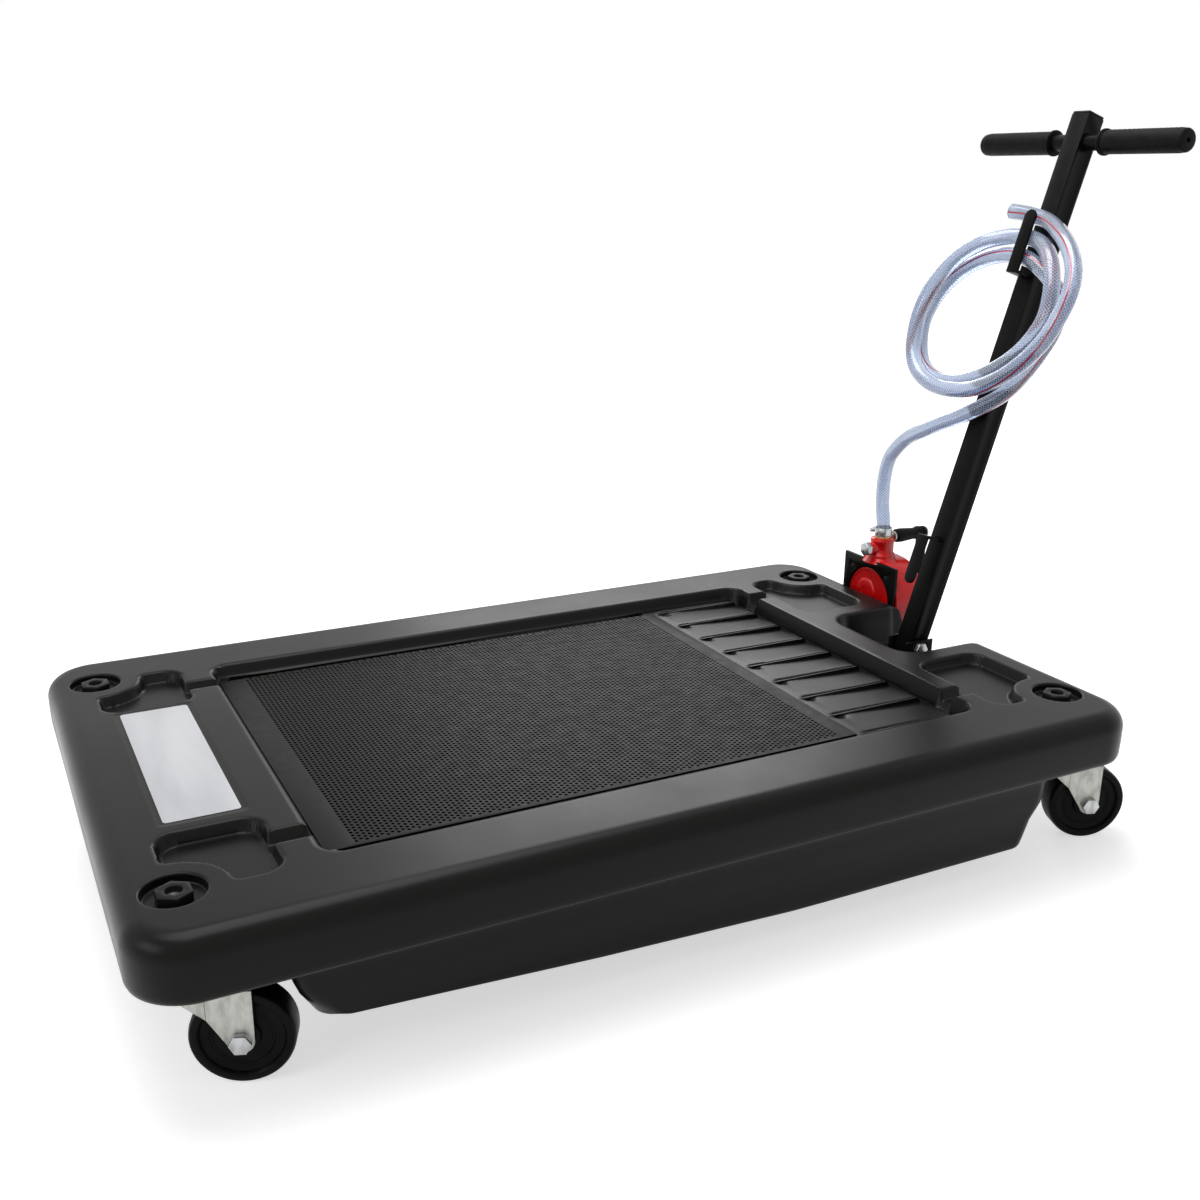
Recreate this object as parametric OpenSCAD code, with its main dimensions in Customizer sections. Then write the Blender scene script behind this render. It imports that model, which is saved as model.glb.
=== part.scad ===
// Wheeled low-profile oil drainer: a moulded tank deck on four swivel casters, with a lift-out
// screen, a leaning T handle that carries the hose, and a hand-cranked vane pump.

/* [Deck] */
// Length of the deck
deck_l = 1196; // [1192:2:1204]
// Width of the deck
deck_w = 746; // [742:2:760]
// Height of the deck's top face above the floor
deck_z = 200; // [199:0.5:202]
// Height of the deck's rim
rim_h = 64; // [62:1:66]
// Plan radius of the deck's corners
corner_r = 60; // [54:1:66]
// Radius of the deck's top edge
edge_r = 24; // [20:1:26]
// Thickness of the moulded walls
wall = 5; // [4:0.5:6]
// Depth of the corner pockets
pocket_depth = 14; // [12:0.5:14]

/* [Screen] */
// Thickness of the drain screen
screen_t = 2; // [1.5:0.5:3]
// Depth of the drain grooves
groove_depth = 3; // [2:0.5:3.5]

/* [Casters] */
// Diameter of a caster wheel
wheel_d = 100; // [98:1:100]
// Width of a caster wheel
wheel_w = 32; // [30:1:32]
// Distance from a caster's pivot to its axle
trail = 52; // [50:1:53]
// Direction in which the casters are parked
caster_turn = -22; // [-180:1:180]
// Diameter of a caster's stem
stem_d = 16; // [14:1:16]

/* [Handle] */
// Lean of the handle from upright
lean = 17.6; // [15:0.1:20]
// Width of the square handle tube
pole_w = 30; // [28:1:30]
// Length of the handle above its hinge
pole_l = 769; // [765:1:775]
// Diameter of the cross bar
bar_d = 22; // [20:1:22]
// Diameter of a rubber hand grip
grip_d = 31; // [28:1:34]

/* [Pump] */
// Side of the square pump plate
pump_plate_w = 124; // [122:1:126]
// Diameter of the pump body
pump_d = 132; // [130:1:134]
// Distance from the pump shaft to the crank grip's axis
crank_r = 88; // [87:1:90]

/* [Hose] */
// Outer diameter of the hose
hose_d = 22; // [20:1:22]

/* [Hidden] */
$fn = 64;

// Deck: x runs along it towards the handle, y across it, and z up from the floor
half_l = deck_l / 2;
half_w = deck_w / 2;
rim_z = deck_z - rim_h;
plate_z = deck_z - 15;
pocket_z = deck_z - pocket_depth;
caster_x = 543;
caster_y = 280;
nut_seat_r = 30;
nut_seat_depth = 10;
boss_r = 52;
stem_keep_r = 38;
notch_w = 172;
notch_x = 456;
shelf_z = 146;
hull_steps = 5;

// Screen
screen_x = [-396, 251];
screen_y = [-250, 247];
basin_x = [-385, 240];
basin_y = [-264, 266];

// Grooves beside the screen
groove_n = 9;
groove_pitch = 62.25;
groove_x = [266, 413];
groove_w = 5;

// Casters
stem_r = stem_d / 2;
axle_r = 6;
bush_r = 9;
running = 0.05;
fork_in = wheel_w / 2 + 2;
fork_t = 3;
fork_top = 110;
crown_t = 6;
race_top = 124;
CASTERS = [[-caster_x, -caster_y], [-caster_x, caster_y], [caster_x, -caster_y],
    [caster_x, caster_y]];

// Handle
hinge = [caster_x, 0, deck_z - 28];
hinge_r = 6;
pole_wall = 2;
pole_foot = 12;
bar_s = 730;
bar_half = 175;
grip_y = [43, 178];
ear_gap = 34;
ear_t = 3;
ear_x = 24;
base_t = 3;
bolt_dx = 38;
hook_w = 20;
hook_t = 4;
hook_gap = 25.5;
upper_hook_s = 538;
upper_finger = 87;
lower_hook_s = 156;
lower_finger = 68;

// Pump
pump_x = half_l;
pump_y = 171;
pump_z = 187;
plate_t = 5;
chamber_r = 50;
rotor_r = 41.7;
shaft_z = pump_z + 8;
shaft_r = 8;
body_x = [pump_x + plate_t, pump_x + 52];
chamber_x = [body_x[0] + 8, body_x[1]];
cover_x = body_x[1] + 10;
boss_x = cover_x + 15;
crank_x = [692, 704];
outlet_x = 620;
outlet_top = 283;
plug_z = 268;
plug_x = outlet_x - 26;
suction_y = 150;
suction_z = 95;
suction_x = 632;
suction_r = 11;
bend_r = 30;
tank_end_x = 472;

// Part frame: centre of the box over everything but the hose, on the floor
pole_top_x = hinge[0] + pole_l * sin(lean) + pole_w / 2 * cos(lean);
frame_x = (pole_top_x - half_l) / 2;

// Hose route in the pole's plane: along the pole, across, and out from its axis
hose_r = hose_d / 2;
LOOP_ROUTE = [[317, 57, 28], [335, 19, 28], [357, -19, 28], [380, -48, 28], [408, -66, 26],
    [438, -78, 23], [470, -86, 20.5], [500, -84, 20], [522, -71, 20], [540, -48, 22],
    [554, -25, 26], [563, 0, 27.5], [565, 26, 28], [562, 52, 28], [554, 80, 28.5],
    [536, 112, 29.5], [512, 136, 30], [482, 152, 30], [452, 156, 30], [420, 146, 30],
    [394, 126, 30], [380, 94, 30.5], [379, 52, 32], [392, 5, 36], [414, -39, 41],
    [442, -71, 45], [476, -90, 48], [505, -90, 49], [532, -81, 48], [557, -62, 42],
    [577, -35, 33], [588, -9, 28.5], [591, 17, 28], [588, 40, 34], [575, 69, 47],
    [551, 102, 53], [520, 125, 55], [487, 139, 55], [456, 142, 55], [418, 134, 55],
    [392, 118, 55.5], [376, 95, 56.5], [366, 61, 57.5], [365, 22, 59], [372, -19, 61],
    [391, -62, 64], [416, -96, 67], [446, -121, 69], [476, -133, 69], [509, -136, 66],
    [541, -125, 60], [568, -101, 52], [592, -67, 42], [613, -23, 30], [622, 18, 27.5],
    [625, 50, 28.5]];
RISER_ROUTE = [[620, 171, 286], [620, 171.4, 302], [620, 178, 338], [619.5, 178, 374],
    [618, 169, 407], [616, 151, 429], [613.5, 124, 450], [611, 90, 467]];

function along_pole(p) = [hinge[0] + p[0] * sin(lean) - p[2] * cos(lean), p[1],
    hinge[2] + p[0] * cos(lean) + p[2] * sin(lean)];
loop_points = [for (p = LOOP_ROUTE) along_pole(p)];
riser_points = concat(RISER_ROUTE, [loop_points[0]]);

function unit(v) = v / norm(v);
// Direction of a route's last run
function last_run(pts) = unit(pts[len(pts) - 1] - pts[len(pts) - 2]);
// Direction of a route at one of its points, with the two ends given
function heading(pts, i, first, last) =
    i == 0 ? first : i == len(pts) - 1 ? last : unit(pts[i + 1] - pts[i - 1]);
// Corners of a rounded rectangle, with a few straight steps round each corner
function rounded(x0, x1, y0, y1, r, steps = 6) = [
    for (q = [0:3], k = [0:steps])
        let (a = 90 * (q + k / steps))
        [(q == 0 || q == 3 ? x1 - r : x0 + r) + r * cos(a),
         (q < 2 ? y1 - r : y0 + r) + r * sin(a)]
];

// Moves a sub-part from the deck's centre to the part frame
module in_frame() {
    translate([-frame_x, 0, 0]) children();
}

// Flat block with rounded plan corners
module slab(x, y, z, r, steps = 6) {
    translate([0, 0, z[0]])
        linear_extrude(z[1] - z[0]) polygon(rounded(x[0], x[1], y[0], y[1], r, steps));
}

// Round bar between two heights
module post(x, y, z, r) {
    translate([x, y, z[0]]) cylinder(r = r, h = z[1] - z[0]);
}

// Round bar along X
module rod_x(x, y, z, r) {
    translate([x[0], y, z]) rotate([0, 90, 0]) cylinder(r = r, h = x[1] - x[0]);
}

// Round bar along Y
module rod_y(x, y, z, r) {
    translate([x, y[0], z]) rotate([-90, 0, 0]) cylinder(r = r, h = y[1] - y[0]);
}

// Hexagonal bar along Y, by its distance across flats
module hex_y(x, y, z, flats) {
    translate([x, y[0], z]) rotate([-90, 0, 0])
        cylinder(r = flats / sqrt(3), h = y[1] - y[0], $fn = 6);
}

// Tube swept along a route, with one ring at each of its points
module tube(pts, first, last, r, sides = 10) {
    n = len(pts);
    across = [-cos(lean), 0, sin(lean)];
    rings = [for (i = [0:n - 1])
        let (t = heading(pts, i, first, last), a = unit(cross(t, across)), b = cross(t, a))
        for (k = [0:sides - 1])
            pts[i] + r * (cos(360 * k / sides) * a + sin(360 * k / sides) * b)];
    walls = [for (i = [0:n - 2], k = [0:sides - 1])
        let (m = (k + 1) % sides)
        [i * sides + k, i * sides + m, (i + 1) * sides + m, (i + 1) * sides + k]];
    start = [for (k = [0:sides - 1]) sides - 1 - k];
    finish = [for (k = [0:sides - 1]) (n - 1) * sides + k];
    polyhedron(points = rings, faces = concat([start], walls, [finish]), convexity = 12);
}

// Solid shape of the deck's rim, drawn in by g all round
module rim_shape(g) {
    hull() {
        slab([g - half_l, half_l - g], [g - half_w, half_w - g], [rim_z + g, rim_z + g + 1],
            corner_r - g);
        for (k = [0:hull_steps])
            let (a = 90 * k / hull_steps, in = g + (edge_r - g) * (1 - cos(a)),
                z = deck_z - edge_r + (edge_r - g) * sin(a))
            slab([in - half_l, half_l - in], [in - half_w, half_w - in], [z - 1, z],
                corner_r - in);
    }
}

// Solid shape of the tank under the rim, drawn in by g all round
module basin_shape(g) {
    top = rim_z + (g > 0 ? 14 : 4);
    hull() {
        slab([g - 456, 478 - g], [g - 350, 350 - g], [113, top], 20);
        slab([g - 448, 476 - g], [g - 348, 348 - g], [92, 93], 20);
        for (y = [-1, 1]) {
            post(g - 414, y * (324 - g), [73, 74], 20, $fn = 24);
            post(g - 401, y * (323 - g), [65 + g, 66 + g], 20, $fn = 24);
            post(433 - g, y * (323 - g), [33 + g, 34 + g], 20, $fn = 24);
        }
    }
}

// Room in which the rear casters swing, grown by g
module wheel_arches(g) {
    for (y = [-1, 1])
        translate([caster_x, y * caster_y, 0]) rotate_extrude()
            polygon([[0, 0], [107 + g, 0], [107 + g, 66], [72 + g, 106],
                [72 + g, rim_z + 1 + g], [0, rim_z + 1 + g]]);
}

// Pockets and channels in the deck's top face, grown by g
module sinks(g) {
    top = deck_z + 2;
    slab([-404 - g, 416 + g], [-276 - g, 276 + g], [plate_z - g, top], 22 + g);
    for (s = [-1, 1]) {
        slab([-547 - g, -438 + g], s > 0 ? [168 - g, 285 + g] : [-285 - g, -168 + g],
            [pocket_z - g, top], 26);
        slab([444 - g, 552 + g], s > 0 ? [119 - g, 282 + g] : [-282 - g, -119 + g],
            [pocket_z - g, top], 26);
        slab([-445 - g, -395], [s * 220 - 13 - g, s * 220 + 13 + g], [pocket_z - g, top], 6);
        slab([410, 452 + g], [s * 220 - 13 - g, s * 220 + 13 + g], [pocket_z - g, top], 6);
    }
    slab([notch_x - g, half_l + 60], [-notch_w / 2 - g, notch_w / 2 + g],
        [shelf_z - g, top], 34);
}

// The moulded tank: deck, pockets, basin and the bosses for the casters
module tank_body() in_frame() color("#3a3b3d") difference() {
    union() {
        difference() {
            union() {
                rim_shape(0);
                basin_shape(0);
            }
            wheel_arches(0);
            difference() {
                union() {
                    rim_shape(wall);
                    basin_shape(wall);
                }
                sinks(wall);
                wheel_arches(wall);
                for (c = CASTERS) post(c[0], c[1], [0, deck_z + 1], stem_keep_r);
            }
            difference() {
                sinks(0);
                for (c = CASTERS) post(c[0], c[1], [0, deck_z + 3], boss_r);
            }
        }
        for (c = CASTERS) post(c[0], c[1], [race_top, deck_z - 12], 32);
    }
    slab(basin_x, basin_y, [plate_z - wall - 3, plate_z + 1], 12);
    for (k = [0:groove_n - 1])
        let (y = (k - (groove_n - 1) / 2) * groove_pitch)
        slab(groove_x, [y - groove_w / 2, y + groove_w / 2],
            [plate_z - groove_depth, plate_z + 1], groove_w / 2 - 0.1, 3);
    slab([-535, -447], [-150, 164], [deck_z - 1, deck_z + 1], 8);
    for (c = CASTERS) {
        post(c[0], c[1], [deck_z - nut_seat_depth, deck_z + 2], nut_seat_r);
        post(c[0], c[1], [rim_z - 20, deck_z], stem_r + 0.3);
    }
    for (dx = [-1, 1]) post(hinge[0] + dx * bolt_dx, 0, [rim_z - 1, shelf_z + 1], 4.2);
    for (dy = [-1, 1]) rod_x([half_l - 8, half_l + 2], pump_y + dy * 52, 152, 4.2);
    rod_x([tank_end_x - 16, tank_end_x + 10], suction_y, suction_z, 9);
    rod_x([tank_end_x + 3, tank_end_x + 12], suction_y, suction_z, 20.5);
}

// Perforated steel sheet; its small holes are left to the finish
module drain_screen() in_frame() color("#26272a") difference() {
    slab(screen_x, screen_y, [plate_z, plate_z + screen_t], 3, 3);
    for (x = [-380, 235]) post(x, 0, [plate_z - 1, plate_z + screen_t + 1], 3);
}

// Bare label plate
module blank_label() in_frame() color("#b9bcc0")
    slab([-530, -452], [-145, 159], [deck_z - 1, deck_z - 0.5], 4, 3);

// Caster stems, one at each corner, with a head under the fork
module caster_stems() in_frame() color("#b5bac0") for (c = CASTERS) {
    post(c[0], c[1], [97, fork_top - crown_t - 0.3], 13);
    post(c[0], c[1], [97, deck_z - 6], stem_r);
}

// Nuts that hold the stems in the deck
module caster_stem_nuts() in_frame() color("#c2c6cb") for (c = CASTERS) difference() {
    translate([c[0], c[1], deck_z - nut_seat_depth]) rotate([0, 0, 30])
        cylinder(r = 18.4, h = nut_seat_depth, $fn = 6);
    post(c[0], c[1], [deck_z - 20, deck_z + 1], stem_r);
}

// Swivel races between the forks and the deck
module swivel_races() in_frame() color("#a9aeb4") for (c = CASTERS) difference() {
    union() {
        post(c[0], c[1], [fork_top + 0.3, race_top - 6], 25);
        post(c[0], c[1], [race_top - 6, race_top], 30);
    }
    post(c[0], c[1], [fork_top, race_top + 1], stem_r);
}

// Places a caster's own piece: x along its trail, y along its axle
module at_caster(k) {
    in_frame() translate([CASTERS[k][0], CASTERS[k][1], 0]) rotate([0, 0, caster_turn])
        children();
}

// Outline of a fork's leg, round at the axle
leg_outline = concat(
    [[-4, fork_top], [-4, 98]],
    [for (a = [200:20:360]) [trail + 13 * cos(a), wheel_d / 2 + 13 * sin(a)]],
    [[trail + 13, fork_top]]);

// Pressed fork with its crown
module caster_fork(k) color("#c9cdd2") at_caster(k) difference() {
    union() {
        for (s = [-1, 1])
            translate([0, s > 0 ? fork_in + fork_t : -fork_in, 0]) rotate([90, 0, 0])
                linear_extrude(fork_t) polygon(leg_outline);
        slab([0, trail + 13], [-fork_in - fork_t, fork_in + fork_t],
            [fork_top - crown_t, fork_top], 3, 3);
        post(0, 0, [fork_top - crown_t, fork_top], 27);
    }
    post(0, 0, [fork_top - crown_t - 1, fork_top + 1], stem_r + running);
    rod_y(trail, [-30, 30], wheel_d / 2, axle_r);
}

// Axle bolt with its head on one leg
module caster_axle(k) color("#b5bac0") at_caster(k) {
    rod_y(trail, [-fork_in - fork_t - 1, 33], wheel_d / 2, axle_r);
    hex_y(trail, [-fork_in - fork_t - 7, -fork_in - fork_t], wheel_d / 2, 19);
}

// Axle nut with its washer
module caster_nut(k) color("#b5bac0") at_caster(k) difference() {
    union() {
        rod_y(trail, [fork_in + fork_t, fork_in + fork_t + 2], wheel_d / 2, 12);
        hex_y(trail, [fork_in + fork_t + 2, fork_in + fork_t + 9], wheel_d / 2, 18);
    }
    rod_y(trail, [fork_in, 40], wheel_d / 2, axle_r);
}

// Wheel with a recessed face on each side
module caster_wheel(k) color("#232427") at_caster(k) translate([trail, 0, wheel_d / 2])
    rotate([90, 0, 0]) rotate_extrude() polygon([
        [bush_r, -wheel_w / 2], [17, -wheel_w / 2], [17, -wheel_w / 2 + 5],
        [wheel_d / 2 - 10, -wheel_w / 2 + 5], [wheel_d / 2 - 8, -wheel_w / 2],
        [wheel_d / 2 - 3, -wheel_w / 2], [wheel_d / 2, -wheel_w / 2 + 4],
        [wheel_d / 2, wheel_w / 2 - 4], [wheel_d / 2 - 3, wheel_w / 2],
        [wheel_d / 2 - 8, wheel_w / 2], [wheel_d / 2 - 10, wheel_w / 2 - 5],
        [17, wheel_w / 2 - 5], [17, wheel_w / 2], [bush_r, wheel_w / 2]]);

// Plain bearing pressed in the wheel
module wheel_bush(k) color("#8d7d5c") at_caster(k) difference() {
    rod_y(trail, [-fork_in + 0.3, fork_in - 0.3], wheel_d / 2, bush_r);
    rod_y(trail, [-fork_in, fork_in], wheel_d / 2, axle_r + running);
}

// U bracket that carries the handle's hinge
module handle_bracket() in_frame() color("#2c2d30") difference() {
    union() {
        slab([hinge[0] - 52, hinge[0] + 52], [-ear_gap / 2 - ear_t, ear_gap / 2 + ear_t],
            [shelf_z, shelf_z + base_t], 5, 3);
        for (y = [-ear_gap / 2 - ear_t, ear_gap / 2])
            translate([hinge[0] - ear_x, y, shelf_z])
                cube([2 * ear_x, ear_t, hinge[2] + 12 - shelf_z]);
    }
    rod_y(hinge[0], [-30, 30], hinge[2], hinge_r);
    for (dx = [-1, 1])
        post(hinge[0] + dx * bolt_dx, 0, [shelf_z - 1, shelf_z + base_t + 1], 4.2);
}

// Bolts that hold the bracket on the deck's shelf
module bracket_bolts() in_frame() color("#9a9ea3") for (dx = [-1, 1]) {
    post(hinge[0] + dx * bolt_dx, 0, [rim_z - 10, shelf_z + base_t], 4);
    translate([hinge[0] + dx * bolt_dx, 0, shelf_z + base_t])
        cylinder(r = 7.5, h = 5.5, $fn = 6);
    difference() {
        translate([hinge[0] + dx * bolt_dx, 0, rim_z - 7])
            cylinder(r = 7.5, h = 7, $fn = 6);
        post(hinge[0] + dx * bolt_dx, 0, [rim_z - 8, rim_z + 1], 4);
    }
}

// Hinge bolt through the bracket's ears
module hinge_bolt() in_frame() color("#9a9ea3") {
    rod_y(hinge[0], [-21, 29], hinge[2], hinge_r);
    hex_y(hinge[0], [-27, -20], hinge[2], 18);
}

// Hinge nut
module hinge_nut() in_frame() color("#9a9ea3") difference() {
    hex_y(hinge[0], [20, 28], hinge[2], 18);
    rod_y(hinge[0], [19, 29], hinge[2], hinge_r);
}

// Spacers between the handle tube and the ears
module hinge_washers() in_frame() color("#d8d8d4") for (s = [-1, 1]) difference() {
    rod_y(hinge[0], s > 0 ? [15.2, 16.9] : [-16.9, -15.2], hinge[2], 12);
    rod_y(hinge[0], [-18, 18], hinge[2], hinge_r);
}

// Places a piece on the leaning handle: z along the tube from its hinge
module on_handle() {
    in_frame() translate(hinge) rotate([0, lean, 0]) children();
}

// Square handle tube, with its hinge hole and the cross bar's hole
module handle_pole() color("#2c2d30") on_handle() difference() {
    translate([-pole_w / 2, -pole_w / 2, -pole_foot])
        cube([pole_w, pole_w, pole_foot + pole_l - 4]);
    translate([pole_wall - pole_w / 2, pole_wall - pole_w / 2, -pole_foot - 1])
        cube([pole_w - 2 * pole_wall, pole_w - 2 * pole_wall, pole_foot + pole_l]);
    rod_y(0, [-pole_w, pole_w], 0, hinge_r + running);
    rod_y(0, [-pole_w, pole_w], bar_s, bar_d / 2);
}

// Plug in the top of the handle tube
module pole_cap() color("#232427") on_handle() {
    translate([-pole_w / 2, -pole_w / 2, pole_l - 4]) cube([pole_w, pole_w, 4]);
    translate([-10, -10, pole_l - 18]) cube([20, 20, 16]);
}

// Cross bar of the T handle
module cross_bar() color("#2c2d30") on_handle() difference() {
    rod_y(0, [-bar_half, bar_half], bar_s, bar_d / 2);
    rod_y(0, [-bar_half - 1, bar_half + 1], bar_s, bar_d / 2 - 2);
}

// Rubber hand grip, from the flange outwards
module hand_grip(s) color("#1d1e20") on_handle() translate([0, 0, bar_s])
    rotate([-90 * s, 0, 0]) rotate_extrude() polygon([
        [bar_d / 2, grip_y[0]], [grip_d / 2 + 2, grip_y[0]], [grip_d / 2 + 2, grip_y[0] + 4],
        [grip_d / 2, grip_y[0] + 6], [grip_d / 2, grip_y[1] - 3],
        [grip_d / 2 - 3, grip_y[1]], [3, grip_y[1]], [3, bar_half], [bar_d / 2, bar_half]]);

// Flat hook welded on the handle tube: its foot at s, its finger up or down
module hose_hook(s, finger) color("#2c2d30") on_handle() {
    out = pole_w / 2 + hook_gap;
    translate([-out - hook_t, -hook_w / 2, s]) cube([out + hook_t - pole_w / 2, hook_w, hook_t]);
    translate([-out - hook_t, 0, s]) rotate([0, 90, 0]) linear_extrude(hook_t)
        polygon(concat([[0, -hook_w / 2], [0, hook_w / 2]],
            [for (a = [0:15:180]) let (d = finger > 0 ? -1 : 1, len = abs(finger) - hook_w / 2)
                [d * (len + hook_w / 2 * sin(a)), hook_w / 2 * cos(a)]]));
}

// Plate that carries the pump on the deck's end
module pump_plate() in_frame() color("#2c2d30") difference() {
    translate([pump_x, pump_y - pump_plate_w / 2, pump_z - pump_plate_w / 2])
        cube([plate_t, pump_plate_w, pump_plate_w]);
    rod_x([pump_x - 1, pump_x + plate_t + 1], pump_y, pump_z, 49.5);
    for (s = [-1, 1]) rod_x([pump_x - 1, pump_x + plate_t + 1], pump_y + s * 52, 152, 4.2);
    for (y = [-1, 1], z = [-1, 1]) {
        rod_x([pump_x - 1, pump_x + plate_t + 1], pump_y + y * 41, pump_z + z * 41, 3.2);
        rod_x([pump_x - 1, pump_x + 3], pump_y + y * 41, pump_z + z * 41, 6.2);
    }
}

// Bolts that hold the plate on the deck
module plate_bolts() in_frame() color("#9a9ea3") for (s = [-1, 1]) {
    rod_x([half_l - 12, half_l + plate_t], pump_y + s * 52, 152, 4);
    translate([half_l + plate_t, pump_y + s * 52, 152]) rotate([0, 90, 0])
        cylinder(r = 7.5, h = 5, $fn = 6);
}

// Sunk screws that hold the pump on its plate
module pump_bolts() in_frame() color("#9a9ea3") for (y = [-1, 1], z = [-1, 1]) {
    rod_x([pump_x, pump_x + 3], pump_y + y * 41, pump_z + z * 41, 6);
    rod_x([pump_x, pump_x + 20], pump_y + y * 41, pump_z + z * 41, 3);
}

// Front cover seen through the plate, with the shaft's off-centre boss
module pump_front_cover() in_frame() color("#a3222a") union() {
    rod_x([pump_x + 2, body_x[0]], pump_y, pump_z, 49);
    rod_x([pump_x + 0.5, pump_x + 3], pump_y + 8, shaft_z, 20);
}

// Pump body with its chamber and ports
module pump_body() in_frame() color("#a3222a") difference() {
    union() {
        rod_x(body_x, pump_y, pump_z, pump_d / 2);
        post(suction_x, suction_y, [pump_z - 72, pump_z], 16);
    }
    rod_x([chamber_x[0], chamber_x[1] + 1], pump_y, pump_z, chamber_r);
    for (s = [-1, 1]) rod_x([body_x[0] - 1, body_x[1] - 4], pump_y + s * 52, 152, 9.5);
    post(outlet_x + 4, pump_y, [pump_z + 40, pump_z + 80], 9);
    post(suction_x, suction_y, [pump_z - 80, pump_z - 30], 9);
    for (y = [-1, 1], z = [-1, 1])
        rod_x([body_x[0] - 1, pump_x + 20], pump_y + y * 41, pump_z + z * 41, 3);
}

// Rear cover with the bearing boss of the pump shaft
module pump_rear_cover() in_frame() color("#a3222a") difference() {
    union() {
        rod_x([body_x[1], cover_x], pump_y, pump_z, pump_d / 2 - 4);
        rod_x([cover_x - 2, boss_x], pump_y, shaft_z, 25);
    }
    rod_x([body_x[1] - 1, boss_x + 1], pump_y, shaft_z, shaft_r + running);
    rod_x([boss_x - 8, boss_x + 1], pump_y, shaft_z, 14);
}

// Lip seal in the rear cover's boss
module shaft_seal() in_frame() color("#232427") difference() {
    rod_x([boss_x - 8, boss_x], pump_y, shaft_z, 14);
    rod_x([boss_x - 9, boss_x + 1], pump_y, shaft_z, shaft_r + running);
}

// Outlet neck on top of the pump body
module pump_outlet() in_frame() color("#a3222a") difference() {
    union() {
        post(outlet_x, pump_y, [pump_z + 60, outlet_top], 18);
        post(outlet_x, pump_y, [pump_z + 60, pump_z + 69], 21);
        rod_x([plug_x, outlet_x], pump_y, plug_z, 10);
    }
    post(outlet_x + 4, pump_y, [pump_z + 60, pump_z + 80], 9);
    post(outlet_x, pump_y, [pump_z + 60, outlet_top + 1], 8);
    rod_x([plug_x - 1, outlet_x], pump_y, plug_z, 5);
    rod_x([body_x[0] - 5, body_x[1] + 9], pump_y, pump_z, pump_d / 2);
}

// Priming plug on the neck's side
module priming_plug() in_frame() color("#c2c6cb") {
    translate([plug_x - 9, pump_y, plug_z]) rotate([0, 90, 0])
        cylinder(r = 19 / sqrt(3), h = 9, $fn = 6);
    rod_x([plug_x - 1, plug_x + 14], pump_y, plug_z, 5);
}

// Barb that the hose is pushed on
module hose_barb() in_frame() color("#b5a36a") difference() {
    union() {
        post(outlet_x, pump_y, [outlet_top - 14, outlet_top + 3], 8);
        post(outlet_x, pump_y, [outlet_top, outlet_top + 3], 12);
    }
    post(outlet_x, pump_y, [outlet_top - 15, outlet_top + 4], 5.5);
}

// Worm clamp round the hose's end
module hose_clamp() in_frame() color("#c2c6cb") difference() {
    union() {
        post(outlet_x, pump_y, [outlet_top + 5, outlet_top + 17], 13.4);
        translate([outlet_x - 6, pump_y + 10, outlet_top + 6]) cube([16, 9, 10]);
    }
    post(outlet_x, pump_y, [outlet_top + 4, outlet_top + 18], 12.6);
}

// Pipe from the pump down to the tank's end wall
module suction_pipe() in_frame() color("#3a3b3d")
    tube(concat([[suction_x, suction_y, pump_z - 72]],
        [for (a = [0:15:90]) [suction_x - bend_r * (1 - cos(a)), suction_y,
            suction_z + bend_r * (1 - sin(a))]],
        [[tank_end_x + 10, suction_y, suction_z]]),
        [0, 0, -1], [-1, 0, 0], suction_r, 12);

// Flanged union on the tank's end wall
module suction_flange() in_frame() color("#8d9196") difference() {
    union() {
        rod_x([tank_end_x + 3, tank_end_x + 10], suction_y, suction_z, 20);
        rod_x([tank_end_x - 14, tank_end_x + 10], suction_y, suction_z, 8.6);
    }
    rod_x([tank_end_x - 15, tank_end_x + 11], suction_y, suction_z, 6);
}

// Pump shaft
module pump_shaft() in_frame() color("#c2c6cb")
    rod_x([chamber_x[0] + 2, crank_x[1] + 4], pump_y, shaft_z, shaft_r);

// Slotted rotor that nearly touches the top of the chamber
module pump_rotor() in_frame() color("#8d9196") difference() {
    rod_x([chamber_x[0] + 2, chamber_x[1] - 1], pump_y, shaft_z, rotor_r);
    rod_x([chamber_x[0], chamber_x[1]], pump_y, shaft_z, shaft_r);
    for (a = [0:90:270]) translate([chamber_x[0], pump_y, shaft_z]) rotate([a, 0, 0])
        translate([0, -3, 20]) cube([chamber_x[1] - chamber_x[0], 6, rotor_r]);
}

// Sliding vanes, shown pushed home in the rotor
module pump_vanes() in_frame() color("#4a4c50") for (a = [0:90:270])
    translate([chamber_x[0] + 2.2, pump_y, shaft_z]) rotate([a, 0, 0])
        translate([0, -2.9, 21]) cube([chamber_x[1] - chamber_x[0] - 3.4, 5.8, 20]);

// Crank arm, with an eye at each end
module crank_arm() in_frame() color("#b5bac0") difference() {
    union() {
        rod_x(crank_x, pump_y, shaft_z, 15);
        rod_x([crank_x[0] + 2, crank_x[1] - 2], pump_y, shaft_z + crank_r, 10);
        translate([crank_x[0] + 3, pump_y - 9, shaft_z])
            cube([crank_x[1] - crank_x[0] - 6, 18, crank_r]);
    }
    rod_x([crank_x[0] - 1, crank_x[1] + 1], pump_y, shaft_z, shaft_r);
    rod_x([crank_x[0] - 1, crank_x[1] + 1], pump_y, shaft_z + crank_r, 5);
}

// Nut that holds the arm on the shaft
module crank_nut() in_frame() color("#b5bac0") difference() {
    translate([crank_x[1], pump_y, shaft_z]) rotate([0, 90, 0])
        cylinder(r = 14, h = 8, $fn = 6);
    rod_x([crank_x[1] - 1, crank_x[1] + 5], pump_y, shaft_z, shaft_r);
}

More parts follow.
